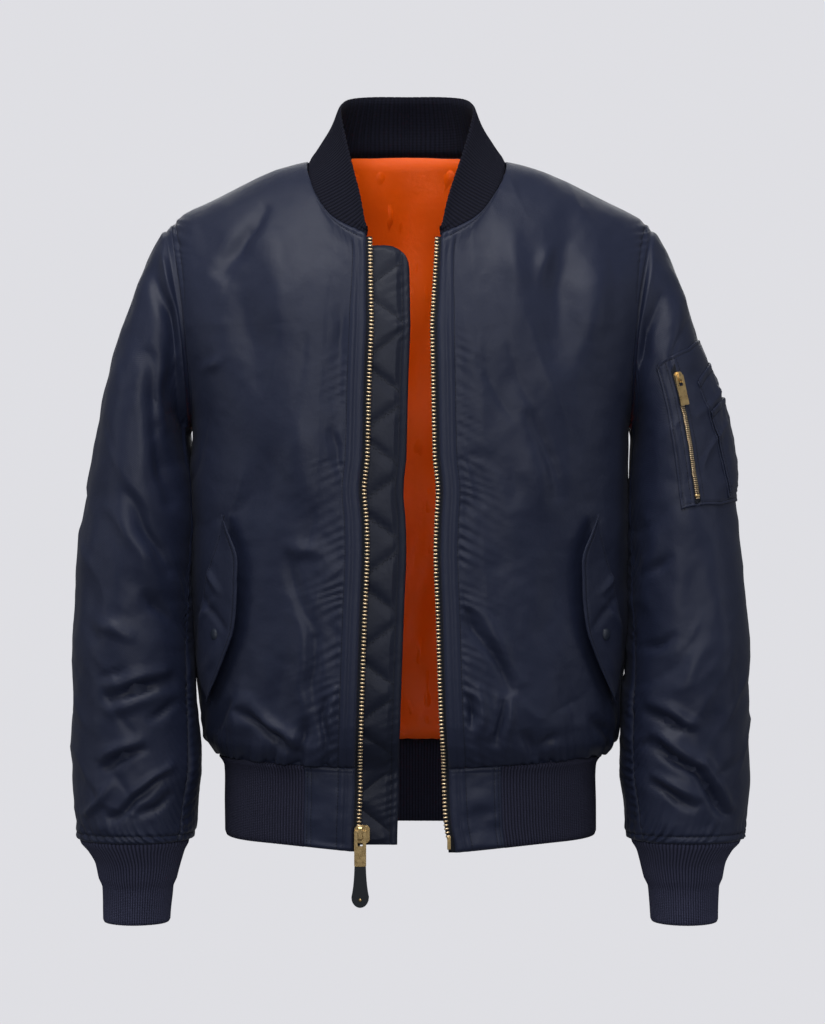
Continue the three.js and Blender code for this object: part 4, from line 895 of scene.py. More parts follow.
def shell(name: str, patch: Patch, height: Array, thickness: float, side: Side,
          step: int = 4, tube: bool = False, round_edges: float = 0.35) -> bpy.types.Object:
    """A closed wall of cloth: a fine outer face, a coarser inner face and a rim.

    Formula: the outer face is the patch raised by height; the inner face is raised by height less the
    thickness at each step-th point; both draw in towards the middle of the wall at its edges.

    Args:
        name: the object's name.
        patch: the surface.
        height: the outer face's height in mm at each point.
        thickness: the wall in mm.
        side: how the patch's normals were turned.
        step: how many fine cells each inner cell spans.
        tube: whether the last column is the first again.
        round_edges: share of the wall that is drawn in at each face along the edges.

    Returns:
        The wall's object.
    """
    edge = np.minimum(patch.from_bottom, patch.from_top)
    if not tube:
        edge = np.minimum(edge, np.minimum(patch.from_start, patch.from_end))
    drawn = thickness * round_edges * (1 - np.sqrt(1 - (1 - np.clip(edge / thickness, 0, 1)) ** 2))
    outer = patch.raised(height - drawn)
    inner = patch.raised(height - thickness + drawn)[::step, ::step]
    if tube:
        outer, inner = outer[:, :-1], inner[:, :-1]
    rows, columns = outer.shape[:2]
    out = np.arange(rows * columns).reshape(rows, columns)
    inn = out.size + np.arange(inner.shape[0] * inner.shape[1]).reshape(inner.shape[:2])
    if tube:
        out, inn = (np.concatenate([n, n[:, :1]], axis=1) for n in (out, inn))
    flip = side is Side.TURN
    rims = [rim_tris(out[0], inn[0], step), rim_tris(out[-1, ::-1], inn[-1, ::-1], step)]
    if not tube:
        rims += [rim_tris(out[::-1, 0], inn[::-1, 0], step), rim_tris(out[:, -1], inn[:, -1], step)]
    tris = np.concatenate(rims)
    quads = np.concatenate([grid_quads(out, flip), grid_quads(inn, not flip)])
    uv = np.stack([patch.from_start, patch.from_bottom], axis=-1)
    inner_uv = uv[::step, ::step]
    if tube:
        uv, inner_uv = uv[:, :-1], inner_uv[:, :-1]
    points = np.concatenate([outer.reshape(-1, 3), inner.reshape(-1, 3)])
    places = np.concatenate([uv.reshape(-1, 2), inner_uv.reshape(-1, 2)])
    return new_object(name, points, quads, tris[:, ::-1] if flip else tris, places)


def bars(name: str, at: Array, along: Array, out: Array, length: float, width: float, thick: float,
         sides: int = 6) -> bpy.types.Object:
    """Many small rounded bars in one mesh, for stitches and zip teeth.

    Formula: each bar is a ring of points round its length, with a narrower ring and a tip at each end.

    Args:
        name: the object's name.
        at: the bars' middles in mm.
        along: unit vectors along the bars.
        out: unit vectors out of the cloth.
        length: a bar's length in mm.
        width: its size across.
        thick: its size out of the cloth.
        sides: points round a ring.

    Returns:
        The bars' object.
    """
    across = unit(np.cross(along, out))
    turn = np.linspace(0, 2 * math.pi, sides, endpoint=False) + math.pi / sides
    ends = np.array([-0.5, -0.36, 0.36, 0.5])
    sizes = np.array([0.55, 1.0, 1.0, 0.55])
    ring = (np.cos(turn)[None, :, None] * across[:, None, :] * width / 2
            + np.sin(turn)[None, :, None] * out[:, None, :] * thick / 2)
    rings = ring[:, None] * sizes[None, :, None, None]
    points = at[:, None, None, :] + ends[None, :, None, None] * length * along[:, None, None, :] + rings
    count = len(at)
    numbers = np.arange(count * 4 * sides).reshape(count, 4, sides)
    nxt = np.roll(numbers, -1, axis=2)
    quads = np.stack([numbers[:, :-1], nxt[:, :-1], nxt[:, 1:], numbers[:, 1:]], axis=-1).reshape(-1, 4)
    caps = []
    for tip, order in ((0, (2, 1)), (3, (1, 2))):
        fan = [numbers[:, tip, start:sides - 2 + start] for start in order]
        caps.append(np.stack([np.repeat(numbers[:, tip, :1], sides - 2, axis=1), *fan], axis=-1))
    return new_object(name, points.reshape(-1, 3), quads, np.concatenate(caps).reshape(-1, 3))


class Sock:
    """A socket in a material, with arithmetic that adds Math nodes."""

    def __init__(self, tree: "Tree", socket: bpy.types.NodeSocket) -> None:
        """Wraps a socket."""
        self.tree = tree
        self.socket = socket

    def _math(self, operation: str, first: object, second: object) -> "Sock":
        """Adds a Math node."""
        return self.tree.add("ShaderNodeMath", {"operation": operation}, {0: first, 1: second})

    def __add__(self, other: object) -> "Sock":
        """Sum."""
        return self._math("ADD", self, other)

    def __sub__(self, other: object) -> "Sock":
        """Difference."""
        return self._math("SUBTRACT", self, other)

    def __rsub__(self, other: object) -> "Sock":
        """Difference with the value first."""
        return self._math("SUBTRACT", other, self)

    def __mul__(self, other: object) -> "Sock":
        """Product."""
        return self._math("MULTIPLY", self, other)

    def apply(self, operation: str) -> "Sock":
        """A Math node with one value."""
        return self.tree.add("ShaderNodeMath", {"operation": operation}, {0: self})

    __radd__ = __add__
    __rmul__ = __mul__


class Tree:
    """Builds one material's nodes."""

    def __init__(self, name: str) -> None:
        """Starts a material with a Principled shader."""
        self.material = bpy.data.materials.new(name)
        self.material.use_nodes = True
        self.nodes = self.material.node_tree.nodes
        self.links = self.material.node_tree.links
        self.shader = next(n for n in self.nodes if n.type == "BSDF_PRINCIPLED")

    def add(self, kind: str, settings: dict | None = None, inputs: dict | None = None,
            output: str | int = 0) -> Sock:
        """Adds a node.

        Args:
            kind: the node's type.
            settings: properties that are set first.
            inputs: values or sockets by the input's name or number.
            output: the output that is returned.

        Returns:
            The node's output.
        """
        node = self.nodes.new(kind)
        for key, value in (settings or {}).items():
            setattr(node, key, value)
        for key, value in (inputs or {}).items():
            self.feed(node.inputs[key], value)
        return Sock(self, node.outputs[output])

    def feed(self, socket: bpy.types.NodeSocket, value: object) -> None:
        """Links a socket, or sets its value."""
        if isinstance(value, Sock):
            self.links.new(value.socket, socket)
        else:
            socket.default_value = value

    def set(self, **inputs: object) -> None:
        """Feeds the shader's sockets, with underscores for the spaces in their names."""
        for key, value in inputs.items():
            self.feed(self.shader.inputs[key.replace("_", " ")], value)

    def place(self, kind: str) -> Sock:
        """The Object or UV coordinate."""
        return self.add("ShaderNodeTexCoord", output=kind)

    def scaled(self, vector: Sock, scale: tuple[float, float, float]) -> Sock:
        """A coordinate times a scale."""
        return self.add("ShaderNodeMapping", inputs={"Vector": vector, "Scale": scale})

    def noise(self, vector: Sock, scale: float, detail: float = 2.0) -> Sock:
        """Noise from 0 to 1."""
        return self.add("ShaderNodeTexNoise", inputs={"Vector": vector, "Scale": scale, "Detail": detail})

    def blend(self, share: Sock, dark: Sequence[float], light: Sequence[float]) -> Sock:
        """A colour between two, by a share."""
        return self.add("ShaderNodeMix", {"data_type": "RGBA"},
                        {0: share, 6: (*dark, 1.0), 7: (*light, 1.0)}, output=2)

    def relief(self, height: Sock, distance: float) -> Sock:
        """A Bump node's normal."""
        return self.add("ShaderNodeBump", inputs={"Height": height, "Distance": distance})


@dataclass(frozen=True)
class Nylon:
    """Woven nylon: a close twill with threads that catch the light unevenly."""

    name: str
    dark: tuple[float, float, float]
    light: tuple[float, float, float]
    roughness: float = 0.47
    sheen: float = 0.02
    thread_mm: float = 0.7
    crumple_mm: float = 0.45

    def build(self) -> bpy.types.Material:
        """Colour drifts between two shades; fine twill lines and small crumples are in the bump."""
        tree = Tree(self.name)
        cloth, place = tree.place("UV"), tree.place("Object")
        drift = tree.noise(place, 9.0, 3.0)
        streak = tree.noise(tree.scaled(cloth, (0.9, 0.07, 1.0)), 1.0, 2.0)
        twill = tree.add("ShaderNodeTexWave", {"bands_direction": "DIAGONAL"},
                         {"Vector": cloth, "Scale": 1 / (self.thread_mm * 3.2), "Distortion": 0.6})
        crumple = tree.noise(place, 60.0, 4.0) + tree.noise(place, 210.0, 2.0) * 0.35
        tree.set(Base_Color=tree.blend(drift * 0.6 + streak * 0.4, self.dark, self.light),
                 Roughness=streak * 0.10 + drift * 0.06 + (self.roughness - 0.08),
                 Normal=tree.relief(twill * 0.05 + crumple * self.crumple_mm, MM))
        tree.set(Sheen_Weight=self.sheen, Sheen_Roughness=0.5, Specular_IOR_Level=0.24)
        return tree.material


@dataclass(frozen=True)
class Rib:
    """Rib knit yarn: small stitches up the ribs, which are in the mesh."""

    name: str
    dark: tuple[float, float, float]
    light: tuple[float, float, float]
    stitch_mm: float = 1.6
    rib_mm: float = 3.05

    def build(self) -> bpy.types.Material:
        """Painted shade darkens the valleys between the ribs; the stitches dent the yarn in short waves and
        darken it there as painted shade; fine hairs roughen it, and hairs and drift vary its tone.
        """
        tree = Tree(self.name)
        cloth, place = tree.place("UV"), tree.place("Object")
        rows = tree.add("ShaderNodeTexWave", {"bands_direction": "Y"},
                        {"Vector": cloth, "Scale": 1 / (self.stitch_mm * 3.18), "Distortion": 1.2})
        hair = tree.noise(place, 900.0, 3.0)
        drift = tree.noise(place, 14.0, 2.0)
        across = tree.add("ShaderNodeSeparateXYZ", inputs={"Vector": cloth}, output="X")
        # Painted shade: the colour is darker in the valleys between the ribs and, through the stitch waves, in
        # the stitches' dents; hairs and drift vary the tone.
        painted_rib_shade = (across * (math.pi / self.rib_mm)).apply("SINE").apply("ABSOLUTE")
        painted_shade_and_tone = painted_rib_shade * 0.62 + rows * 0.12 + hair * 0.14 + drift * 0.12
        tree.set(Base_Color=tree.blend(painted_shade_and_tone, self.dark, self.light), Roughness=hair * 0.12 + 0.8,
                 Normal=tree.relief(rows * 0.5 + hair * 0.5, 0.35 * MM))
        tree.set(Sheen_Weight=0.02, Sheen_Roughness=0.6, Specular_IOR_Level=0.12)
        return tree.material


@dataclass(frozen=True)
class Metal:
    """Cast brass or enamel with worn, slightly pitted faces."""

    name: str
    dark: tuple[float, float, float]
    light: tuple[float, float, float]
    metallic: float = 1.0
    roughness: float = 0.3

    def build(self) -> bpy.types.Material:
        """Tarnish drifts between two shades, and fine pits are in the bump."""
        tree = Tree(self.name)
        place = tree.place("Object")
        tarnish = tree.noise(place, 240.0, 4.0)
        pits = tree.noise(place, 1600.0, 2.0)
        tree.set(Base_Color=tree.blend(tarnish, self.dark, self.light),
                 Roughness=tarnish * 0.2 + (self.roughness - 0.1), Normal=tree.relief(pits, 0.04 * MM))
        tree.set(Metallic=self.metallic)
        return tree.material


@dataclass(frozen=True)
class Matte:
    """Thread, woven tape or moulded rubber."""

    name: str
    dark: tuple[float, float, float]
    light: tuple[float, float, float]
    roughness: float = 0.85
    grain: float = 700.0
    relief_mm: float = 0.12

    def build(self) -> bpy.types.Material:
        """A fine grain in colour and bump."""
        tree = Tree(self.name)
        place = tree.place("Object")
        grain = tree.noise(place, self.grain, 3.0)
        tree.set(Base_Color=tree.blend(grain, self.dark, self.light),
                 Roughness=grain * 0.1 + self.roughness - 0.05,
                 Normal=tree.relief(grain, self.relief_mm * MM))
        tree.set(Specular_IOR_Level=0.3)
        return tree.material


class Finishes:
    """Every material, made once."""

    def __init__(self) -> None:
        """Builds the materials."""
        self.nylon = Nylon("navy_nylon", (0.0098, 0.0132, 0.0310), (0.0150, 0.0197, 0.0440)).build()
        # A darker copy of the shell nylon: painted shade on the sunk storm flap.
        self.shaded_quilt = Nylon("navy_quilted_nylon_painted_shade", (0.0050, 0.0074, 0.0180), (0.0080, 0.0108, 0.0250)).build()
        self.lining = Nylon("orange_nylon", (0.90, 0.082, 0.0005), (1.0, 0.145, 0.001), 0.40, 0.01).build()
        self.knit = Rib("navy_rib_knit", (0.0022, 0.0024, 0.0055), (0.0290, 0.0300, 0.0560)).build()
        # A lighter copy of the rib knit: painted light on the cuffs.
        self.lit_cuff_knit = Rib("navy_cuff_knit_painted_light", (0.0040, 0.0045, 0.0100), (0.0560, 0.0590, 0.1060)).build()
        # A darker copy of the rib knit: painted shade on the collar.
        self.shaded_collar_knit = Rib("navy_collar_knit_painted_shade", (0.0006, 0.0007, 0.0022), (0.0078, 0.0083, 0.0185)).build()
        self.brass = Metal("brass", (0.50, 0.33, 0.13), (0.76, 0.56, 0.28)).build()
        self.teeth = Metal("brass_teeth", (0.52, 0.36, 0.20), (0.86, 0.70, 0.46), 1.0, 0.34).build()
        self.enamel = Metal("navy_enamel", (0.010, 0.014, 0.024), (0.018, 0.024, 0.040), 0.0, 0.38).build()
        self.tape = Matte("zip_tape_weave", (0.004, 0.005, 0.009), (0.009, 0.011, 0.018)).build()
        self.thread = Matte("navy_thread", (0.002, 0.0026, 0.005), (0.0045, 0.0058, 0.011), 0.8, 1500.0).build()
        self.rubber = Matte("grip_rubber", (0.007, 0.009, 0.012), (0.013, 0.016, 0.02), 0.62, 300.0,
                            0.05).build()


def dress(obj: bpy.types.Object, material: bpy.types.Material, body: str = CLOTH_BODY,
          nodes: Sequence[str] = ()) -> bpy.types.Object:
    """Gives a piece its finish and its body.

    Args:
        obj: the piece.
        material: its finish.
        body: the body that it rides on.
        nodes: the solids that it stands for.

    Returns:
        The piece.
    """
    obj.data.materials.clear()
    obj.data.materials.append(material)
    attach(obj, body)
    if nodes:
        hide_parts(*nodes)
    LOG.info("%s: %d faces", obj.name, len(obj.data.polygons))
    return obj


def declare_sheet(obj: bpy.types.Object, patch: Patch) -> None:
    """Logs the flat size and area of a piece's cut.

    Args:
        obj: the piece.
        patch: its surface, which gives the flat size of its cut.
    """
    width, length = (max(size, SMALLEST_CUT * MM) for size in patch.flat())
    area = min(patch.area(), width * length)
    LOG.info("%s cut %.0f by %.0f mm, %.4f m2", obj.name, width / MM, length / MM, area)


@dataclass
class Sewing:
    """Collects lines of stitches and makes them one mesh."""

    finishes: Finishes
    pitch: float = 3.1
    length: float = 2.0
    width: float = 0.75
    lines: list[Line] = field(default_factory=list)

    def add(self, line: Line) -> None:
        """Keeps a line for later."""
        self.lines.append(line)

    def build(self, name: str) -> None:
        """Makes every stitch of the collected lines."""
        places = [line.even(self.pitch) for line in self.lines]
        at, along, out = (np.concatenate(parts) for parts in zip(*places))
        obj = bars(name, at - out * 0.05, along, out, self.length, self.width, self.width, 4)
        dress(obj, self.finishes.thread)


def hang(name: str, node: str, patch: Patch, height: Array, wall: float, turn: Side,
         finish: bpy.types.Material) -> None:
    """Makes a piece of hung cloth from its surface and dresses it.

    Args:
        name: the piece's name.
        node: the solid that it stands for.
        patch: its surface.
        height: its outer face's height in mm.
        wall: its thickness in mm.
        turn: which way its normals were turned.
        finish: its material.
    """
    obj = dress(shell(name, patch, height, wall, turn), finish, nodes=[node])
    declare_sheet(obj, patch)


def seam_roll(distance: Array, depth: float = 1.3, wide: float = 2.2) -> Array:
    """How far cloth dips into a seam at its edge."""
    return -depth * bump(np.maximum(distance, 0), wide)


@dataclass
class Torso:
    """The two fronts, the back and their lining."""

    finishes: Finishes
    sewing: Sewing
    columns: int = 112
    low_rows: int = 160
    chest_rows: int = 48
    top_rows: int = 64
    neck_stitch: float = 7.0
    placket_seam: float = 9.0
    placket_stitch: float = 16.5
    arm_stitch: float = 9.0
    front_rounds: int = 220
    back_columns: int = 84
    back_rounds: int = 168

    def rows(self) -> Array:
        """Rows from the waist seam to the top, closer together at the waist and at the top."""
        low = UNDERARM_V * np.linspace(0, 1, self.low_rows + 1) ** 0.8
        chest = np.linspace(UNDERARM_V, CHEST_V, self.chest_rows + 1)[1:]
        top = mix(CHEST_V, 1.0, np.linspace(0, 1, self.top_rows + 1)[1:] ** 0.92)
        return np.concatenate([low, chest, top])

    def waist_gathers(self, patch: Patch, along: Array, seed: int) -> Array:
        """Cloth that balloons over the waistband: fine gathers at the seam and a soft roll above it."""
        low = patch.from_bottom
        fine = Pucker(11, 18, 2.9, 0.12, seed).height(low, along)
        broad = Pucker(29, 34, 4.2, 0.35, seed + 7).height(low, along)
        return (fine + broad) * smooth(low / 3) + 1.2 * bump(low - 16, 11)

    def common(self, patch: Patch, seed: int) -> Array:
        """Soft unevenness all over a panel."""
        x, z = patch.points[..., 0], patch.points[..., 2]
        folds = fold_lines(np.abs(x), z, 16.0, seed + 3) * (0.35 + 0.65 * smooth((-150 - z) / 120))
        return (1.8 * soft_noise(x, z, 46, seed) + 0.7 * soft_noise(x, 0.7 * z, 20, seed + 1)
                + 0.3 * soft_noise(x, z, 9, seed + 2) + folds)

    def topstitch(self, patch: Patch, u: Array, outer: Array, neck_u: float, seeds: tuple[int, int]) -> Array:
        """The dents of the rows of sewing below the neck and beside the armhole.

        Args:
            patch: the panel.
            u: each point's share of the way to the outer edge.
            outer: mm from the outer edge.
            neck_u: where the neck seam ends.
            seeds: the seeds of the two lines' gathers.

        Returns:
            The height in mm.
        """
        z, top = patch.points[..., 2], patch.from_top
        neck = smooth((neck_u + 0.02 - u) / 0.04)
        arm = smooth((z - ARM_STITCH_Z) / 30) * (u > 0.5) * smooth(top / 5)
        below_neck = Pucker(8, 8, 0.7, 0.3, seeds[0]).height(top - self.neck_stitch, patch.from_start)
        beside_arm = Pucker(9, 7, 1.1, 0.3, seeds[1]).height(outer - self.arm_stitch, z)
        return (groove(top, self.neck_stitch, 0.6, 1.5) * neck + below_neck * neck * smooth(top / 3)
                + groove(outer, self.arm_stitch, 0.7, 1.6) * arm + beside_arm * arm * smooth(outer / 3))

    def front(self, side: int) -> None:
        """One front with its placket, topstitching, gathers and creases."""
        word = WORDS[side]
        turn = Side.on(side)
        columns = clustered(self.columns)
        patch = Patch.of(front_surface(side), columns, self.rows(), turn, self.front_rounds)
        x, z = patch.points[..., 0], patch.points[..., 2]
        u = np.broadcast_to(columns, x.shape)
        edge, outer, low, top = patch.from_start, patch.from_end, patch.from_bottom, patch.from_top
        calm = smooth((edge - 14) / 12) * smooth(outer / 10) * smooth(top / 16) * smooth(low / 4)
        height = crease_height(FRONT_CREASES[side], x, z, 20 + side) * calm
        height += self.common(patch, 30 + side) * calm
        height += self.waist_gathers(patch, edge, 40 + side) * smooth((edge - 15) / 8) * smooth(outer / 6)
        height += seam_roll(edge, 1.5, 1.4) + seam_roll(low, 1.1, 3.0) + seam_roll(outer, 1.4, 2.4)
        height += seam_roll(top, 0.8, 2.4)
        height += groove(edge, self.placket_seam, 0.75, 1.3) + groove(edge, self.placket_stitch, 0.5, 1.5)
        height += 0.55 * bump(edge - 12.6, 2.6) - 0.3 * smooth((edge - 12) / 6) * (edge < 40)
        side_pucker = Pucker(10, 17, 1.7, 0.55, 50 + side).height(edge - self.placket_stitch, low)
        height += side_pucker * smooth((edge - self.placket_stitch) / 3) * smooth((460 - low) / 120)
        height += self.topstitch(patch, u, outer, FRONT_NECK_U, (60 + side, 70 + side))
        height += self.pocket_slit(side, x, z)
        hang(f"cloth_front_{word}", f"front_{word}", patch, height, SHELL, turn, self.finishes.nylon)
        self.sewing.add(patch.line(edge, self.placket_stitch, height, slice(3, -14)))
        flat = patch.turned()
        last = int((columns < FRONT_NECK_U - 0.01).sum())
        self.sewing.add(flat.line(-flat.from_end, -self.neck_stitch, height.T, slice(6, last)))
        rows = slice(int((z[:, -1] < ARM_STITCH_Z).sum()), -8)
        self.sewing.add(patch.line(-outer, -self.arm_stitch, height, rows))

    def pocket_slit(self, side: int, x: Array, z: Array) -> Array:
        """The pocket's mouth: a trough under the flap's free edge."""
        edge_z = POCKET_FLAP.columns["freeZ"]
        row = np.interp(-z, -edge_z, np.arange(len(edge_z)))
        inside = smooth((z + 540) / 12) * smooth((-352 - z) / 12)
        return -1.6 * inside * bump(np.abs(x) - POCKET_FLAP.at_row("freeX", row) - 4, 6)

    def across_back(self) -> Array:
        """The back's columns from side to side, closer together at the middle and at the sides."""
        half = clustered(self.back_columns)
        return np.concatenate([-half[::-1], half[1:]])

    def back(self) -> None:
        """The back, in one piece from side to side."""
        columns = self.across_back()
        patch = Patch.of(back_surface, columns, self.rows(), Side.TURN, self.back_rounds)
        x, z = patch.points[..., 0], patch.points[..., 2]
        u = np.broadcast_to(np.abs(columns), x.shape)
        outer, low, top = np.minimum(patch.from_start, patch.from_end), patch.from_bottom, patch.from_top
        calm = smooth(outer / 10) * smooth(top / 16) * smooth(low / 4)
        height = (crease_height(BACK_CREASES, x, z, 80) + self.common(patch, 82)) * calm
        height += self.waist_gathers(patch, patch.from_start, 84) * smooth(outer / 6)
        height += seam_roll(outer, 1.4, 2.4) + seam_roll(low, 1.1, 3.0) + seam_roll(top, 0.8, 2.4)
        height += self.topstitch(patch, u, outer, BACK_NECK_U, (86, 87))
        hang("cloth_back", "back", patch, height, SHELL, Side.TURN, self.finishes.nylon)
        flat = patch.turned()
        inside = np.flatnonzero(np.abs(columns) < BACK_NECK_U - 0.01)
        shown = slice(inside[0], inside[-1])
        self.sewing.add(flat.line(-flat.from_end, -self.neck_stitch, height.T, shown))
        rows = slice(int((z[:, -1] < ARM_STITCH_Z).sum()), -8)
        self.sewing.add(patch.line(patch.from_start, self.arm_stitch, height, rows))
        self.sewing.add(patch.line(-patch.from_end, -self.arm_stitch, height, rows))

    def lining(self) -> None:
        """The lining inside the fronts and the back, gathered at the neck and bunched at the waist."""
        self.lining_piece("lining_back", back_surface, self.across_back(), Side.TURN, BACK_CREASES, 80)
        for side in (LEFT, RIGHT):
            self.lining_piece(f"lining_front_{WORDS[side]}", front_surface(side), clustered(self.columns),
                              Side.on(side), FRONT_CREASES[side], 20 + side)

    def lining_piece(self, node: str, surface: Surface, columns: Array, turn: Side, table: list[Crease],
                     seed: int) -> None:
        """One piece of the lining, which hangs in folds of its own and never passes the cloth over it.

        Formula: ripples, gathers and the cloth's own troughs, moved in by the lining's depth; a soft
        minimum with the cloth's inner face; less the folds that hang from the neck seam.

        Args:
            node: the solid that it stands for.
            surface: the surface of the cloth over it.
            columns: that cloth's columns.
            turn: which way the normals are turned.
            table: that cloth's creases.
            seed: that cloth's seed for them.
        """
        wide = surface is back_surface
        low = UNDERARM_V * np.linspace(0.02, 1, 73) ** 0.8
        rows = np.concatenate([low, np.linspace(UNDERARM_V, 1.0, 57)[1:]])
        patch = Patch.of(surface, columns, rows if wide else rows * 0.985, turn,
                         self.back_rounds if wide else self.front_rounds)
        kept = np.flatnonzero((np.abs(columns) <= 0.945) & (np.abs(columns) >= (-1 if wide else 0.11)))
        patch = patch.cropped(kept[0], kept[0] + (len(kept) - 1) // 4 * 4 + 1)
        x, z, top = patch.points[..., 0], patch.points[..., 2], patch.from_top
        own = self.common(patch, 82 if wide else seed + 10)
        cloth = crease_height(table, x, z, seed) + own
        follow = np.minimum(cloth, 0) * smooth(top / 16)
        follow = follow + crease_height(LINING_CREASES, x, z, 95) * wide
        corner = 3.5 * smooth((np.abs(x) - 60) / 20) if wide else 2.0
        corner = corner + 6 * bump(np.abs(x - NECK_SHIFT) - 98, 24) * smooth((z + 60) / 30)
        ripple = (2.2 * soft_noise(x, 0.25 * z, 24, 90) + 1.1 * soft_noise(x, 0.4 * z, 11, 91)
                  + 0.8 * soft_noise(x, z, 17, 92))
        neck = Pucker(7, 16, 1.5, 0.1, 93).height(top - 9, patch.from_start)
        waist = Pucker(13, 30, 3.2, 0.15, 94).height(patch.from_bottom, patch.from_start)
        height = ripple + neck * smooth(top / 4) + waist + groove(top, 9, 1.0, 1.6)
        height = np.clip(height, -6, 2.4) * smooth(top / 12) + np.clip(follow, -12, 2)
        height = height - LINING_DEPTH - corner - (5.5 - corner) * smooth(top / 22)
        edge = np.minimum(patch.from_start, patch.from_end)
        cap = np.minimum(cloth, 0.5) - SHELL - 0.9 - 2.5 * smooth(1 - edge / 16) - 1.5 * smooth(1 - top / 16)
        height = -0.6 * np.logaddexp(-height / 0.6, -cap / 0.6)
        drape = np.maximum(fold_lines(x, z, 12.0, 240), 0)
        drape = drape + 0.8 * np.maximum(fold_lines(x, z, -24.0, 250), 0)
        neck_fold = (1 - np.abs(soft_noise(patch.from_start, 0.3 * top, 40, 260))) ** 2
        height = height - 1.7 * drape * smooth(top / 20)
        height = height - 1.6 * neck_fold * bump(top - 26, 26) * smooth((top - 9) / 8)
        hang(f"cloth_{node}", node, patch, height, LINING, turn, self.finishes.lining)


@dataclass
class Sleeves:
    """Both sleeves, each of a top and an under piece, with creases that fan from the front seam."""

    finishes: Finishes
    sewing: Sewing
    rows: int = 240
    hem_stitch: float = 9.0

    def height(self, side: int, patch: Patch) -> Array:
        """The creases and unevenness of a sleeve at a patch's points."""
        x, y, z = (patch.points[..., i] for i in range(3))
        facing = patch.normals[..., 1]
        ahead, behind = smooth((0.25 - facing) / 0.5), smooth((facing - 0.05) / 0.5)
        fall = smooth((z + 672) / 16)
        total = crease_height(SLEEVE_FRONT_CREASES[side], x, z, 100 + side) * ahead
        total += crease_height(SLEEVE_BACK_CREASES, np.abs(x), z, 104) * behind
        total += 1.9 * soft_noise(y + x, z, 44, 105 + side) + 0.8 * soft_noise(y - x, z, 20, 107)
        total += 0.3 * soft_noise(x, z, 9, 108)
        total += fold_lines(np.abs(x) + 0.4 * y, z, -38.0, 200 + side) * smooth((-120 - z) / 80)
        total += 0.6 * fold_lines(np.abs(x) + 0.4 * y, z, -70.0, 210 + side) * smooth((-380 - z) / 120)
        return total * fall

    def piece(self, side: int, part: str) -> None:
        """One piece of a sleeve."""
        word = WORDS[side]
        turn = Side.on(side)
        angle = top_angle if part == "top" else under_angle
        columns = clustered(136 if part == "top" else 48)
        patch = Patch.of(lambda u, t: sleeve_point(side, angle(u, t), t), columns,
                         np.concatenate([SLEEVE_TUCK_ROWS, clustered(self.rows, 0.5)]), turn)
        patch.from_bottom -= patch.from_bottom[len(SLEEVE_TUCK_ROWS)]
        armhole_side, cuff_side = patch.from_bottom, patch.from_top
        seam = np.minimum(patch.from_start, patch.from_end)
        front = patch.from_end if part == "top" else patch.from_start
        calm = smooth(seam / 6) * smooth(armhole_side / 8) * smooth(cuff_side / 10)
        height = self.height(side, patch) * calm
        height += seam_roll(seam, 1.2, 2.0) + seam_roll(armhole_side, 0.9, 2.4)
        height += seam_roll(cuff_side, 1.5, 2.2)
        fan = Pucker(10, 17, 2.2, 0.5, 110 + side).height(front, armhole_side)
        height += fan * smooth(front / 4) * smooth((armhole_side - 60) / 120) * smooth(cuff_side / 10)
        ring = Pucker(9, 14, 1.9, 0.2, 114 + side).height(cuff_side - self.hem_stitch, patch.from_start)
        height += ring * smooth(cuff_side / 4) + groove(cuff_side, self.hem_stitch, 0.8, 1.5)
        height += 1.1 * bump(cuff_side - 3.6, 3.0)
        gather = Pucker(10, 9, 0.8, 0.2, 118 + side).height(armhole_side, patch.from_start)
        height += gather * smooth(armhole_side / 4)
        hang(f"cloth_sleeve_{word}_{part}", f"sleeve_{word}_{part}", patch, height, SHELL, turn,
             self.finishes.nylon)
        flat = patch.turned()
        self.sewing.add(flat.line(-flat.from_end, -self.hem_stitch, height.T))

    def build(self) -> None:
        """Both pieces of both sleeves."""
        for side in (LEFT, RIGHT):
            for part in ("top", "under"):
                self.piece(side, part)


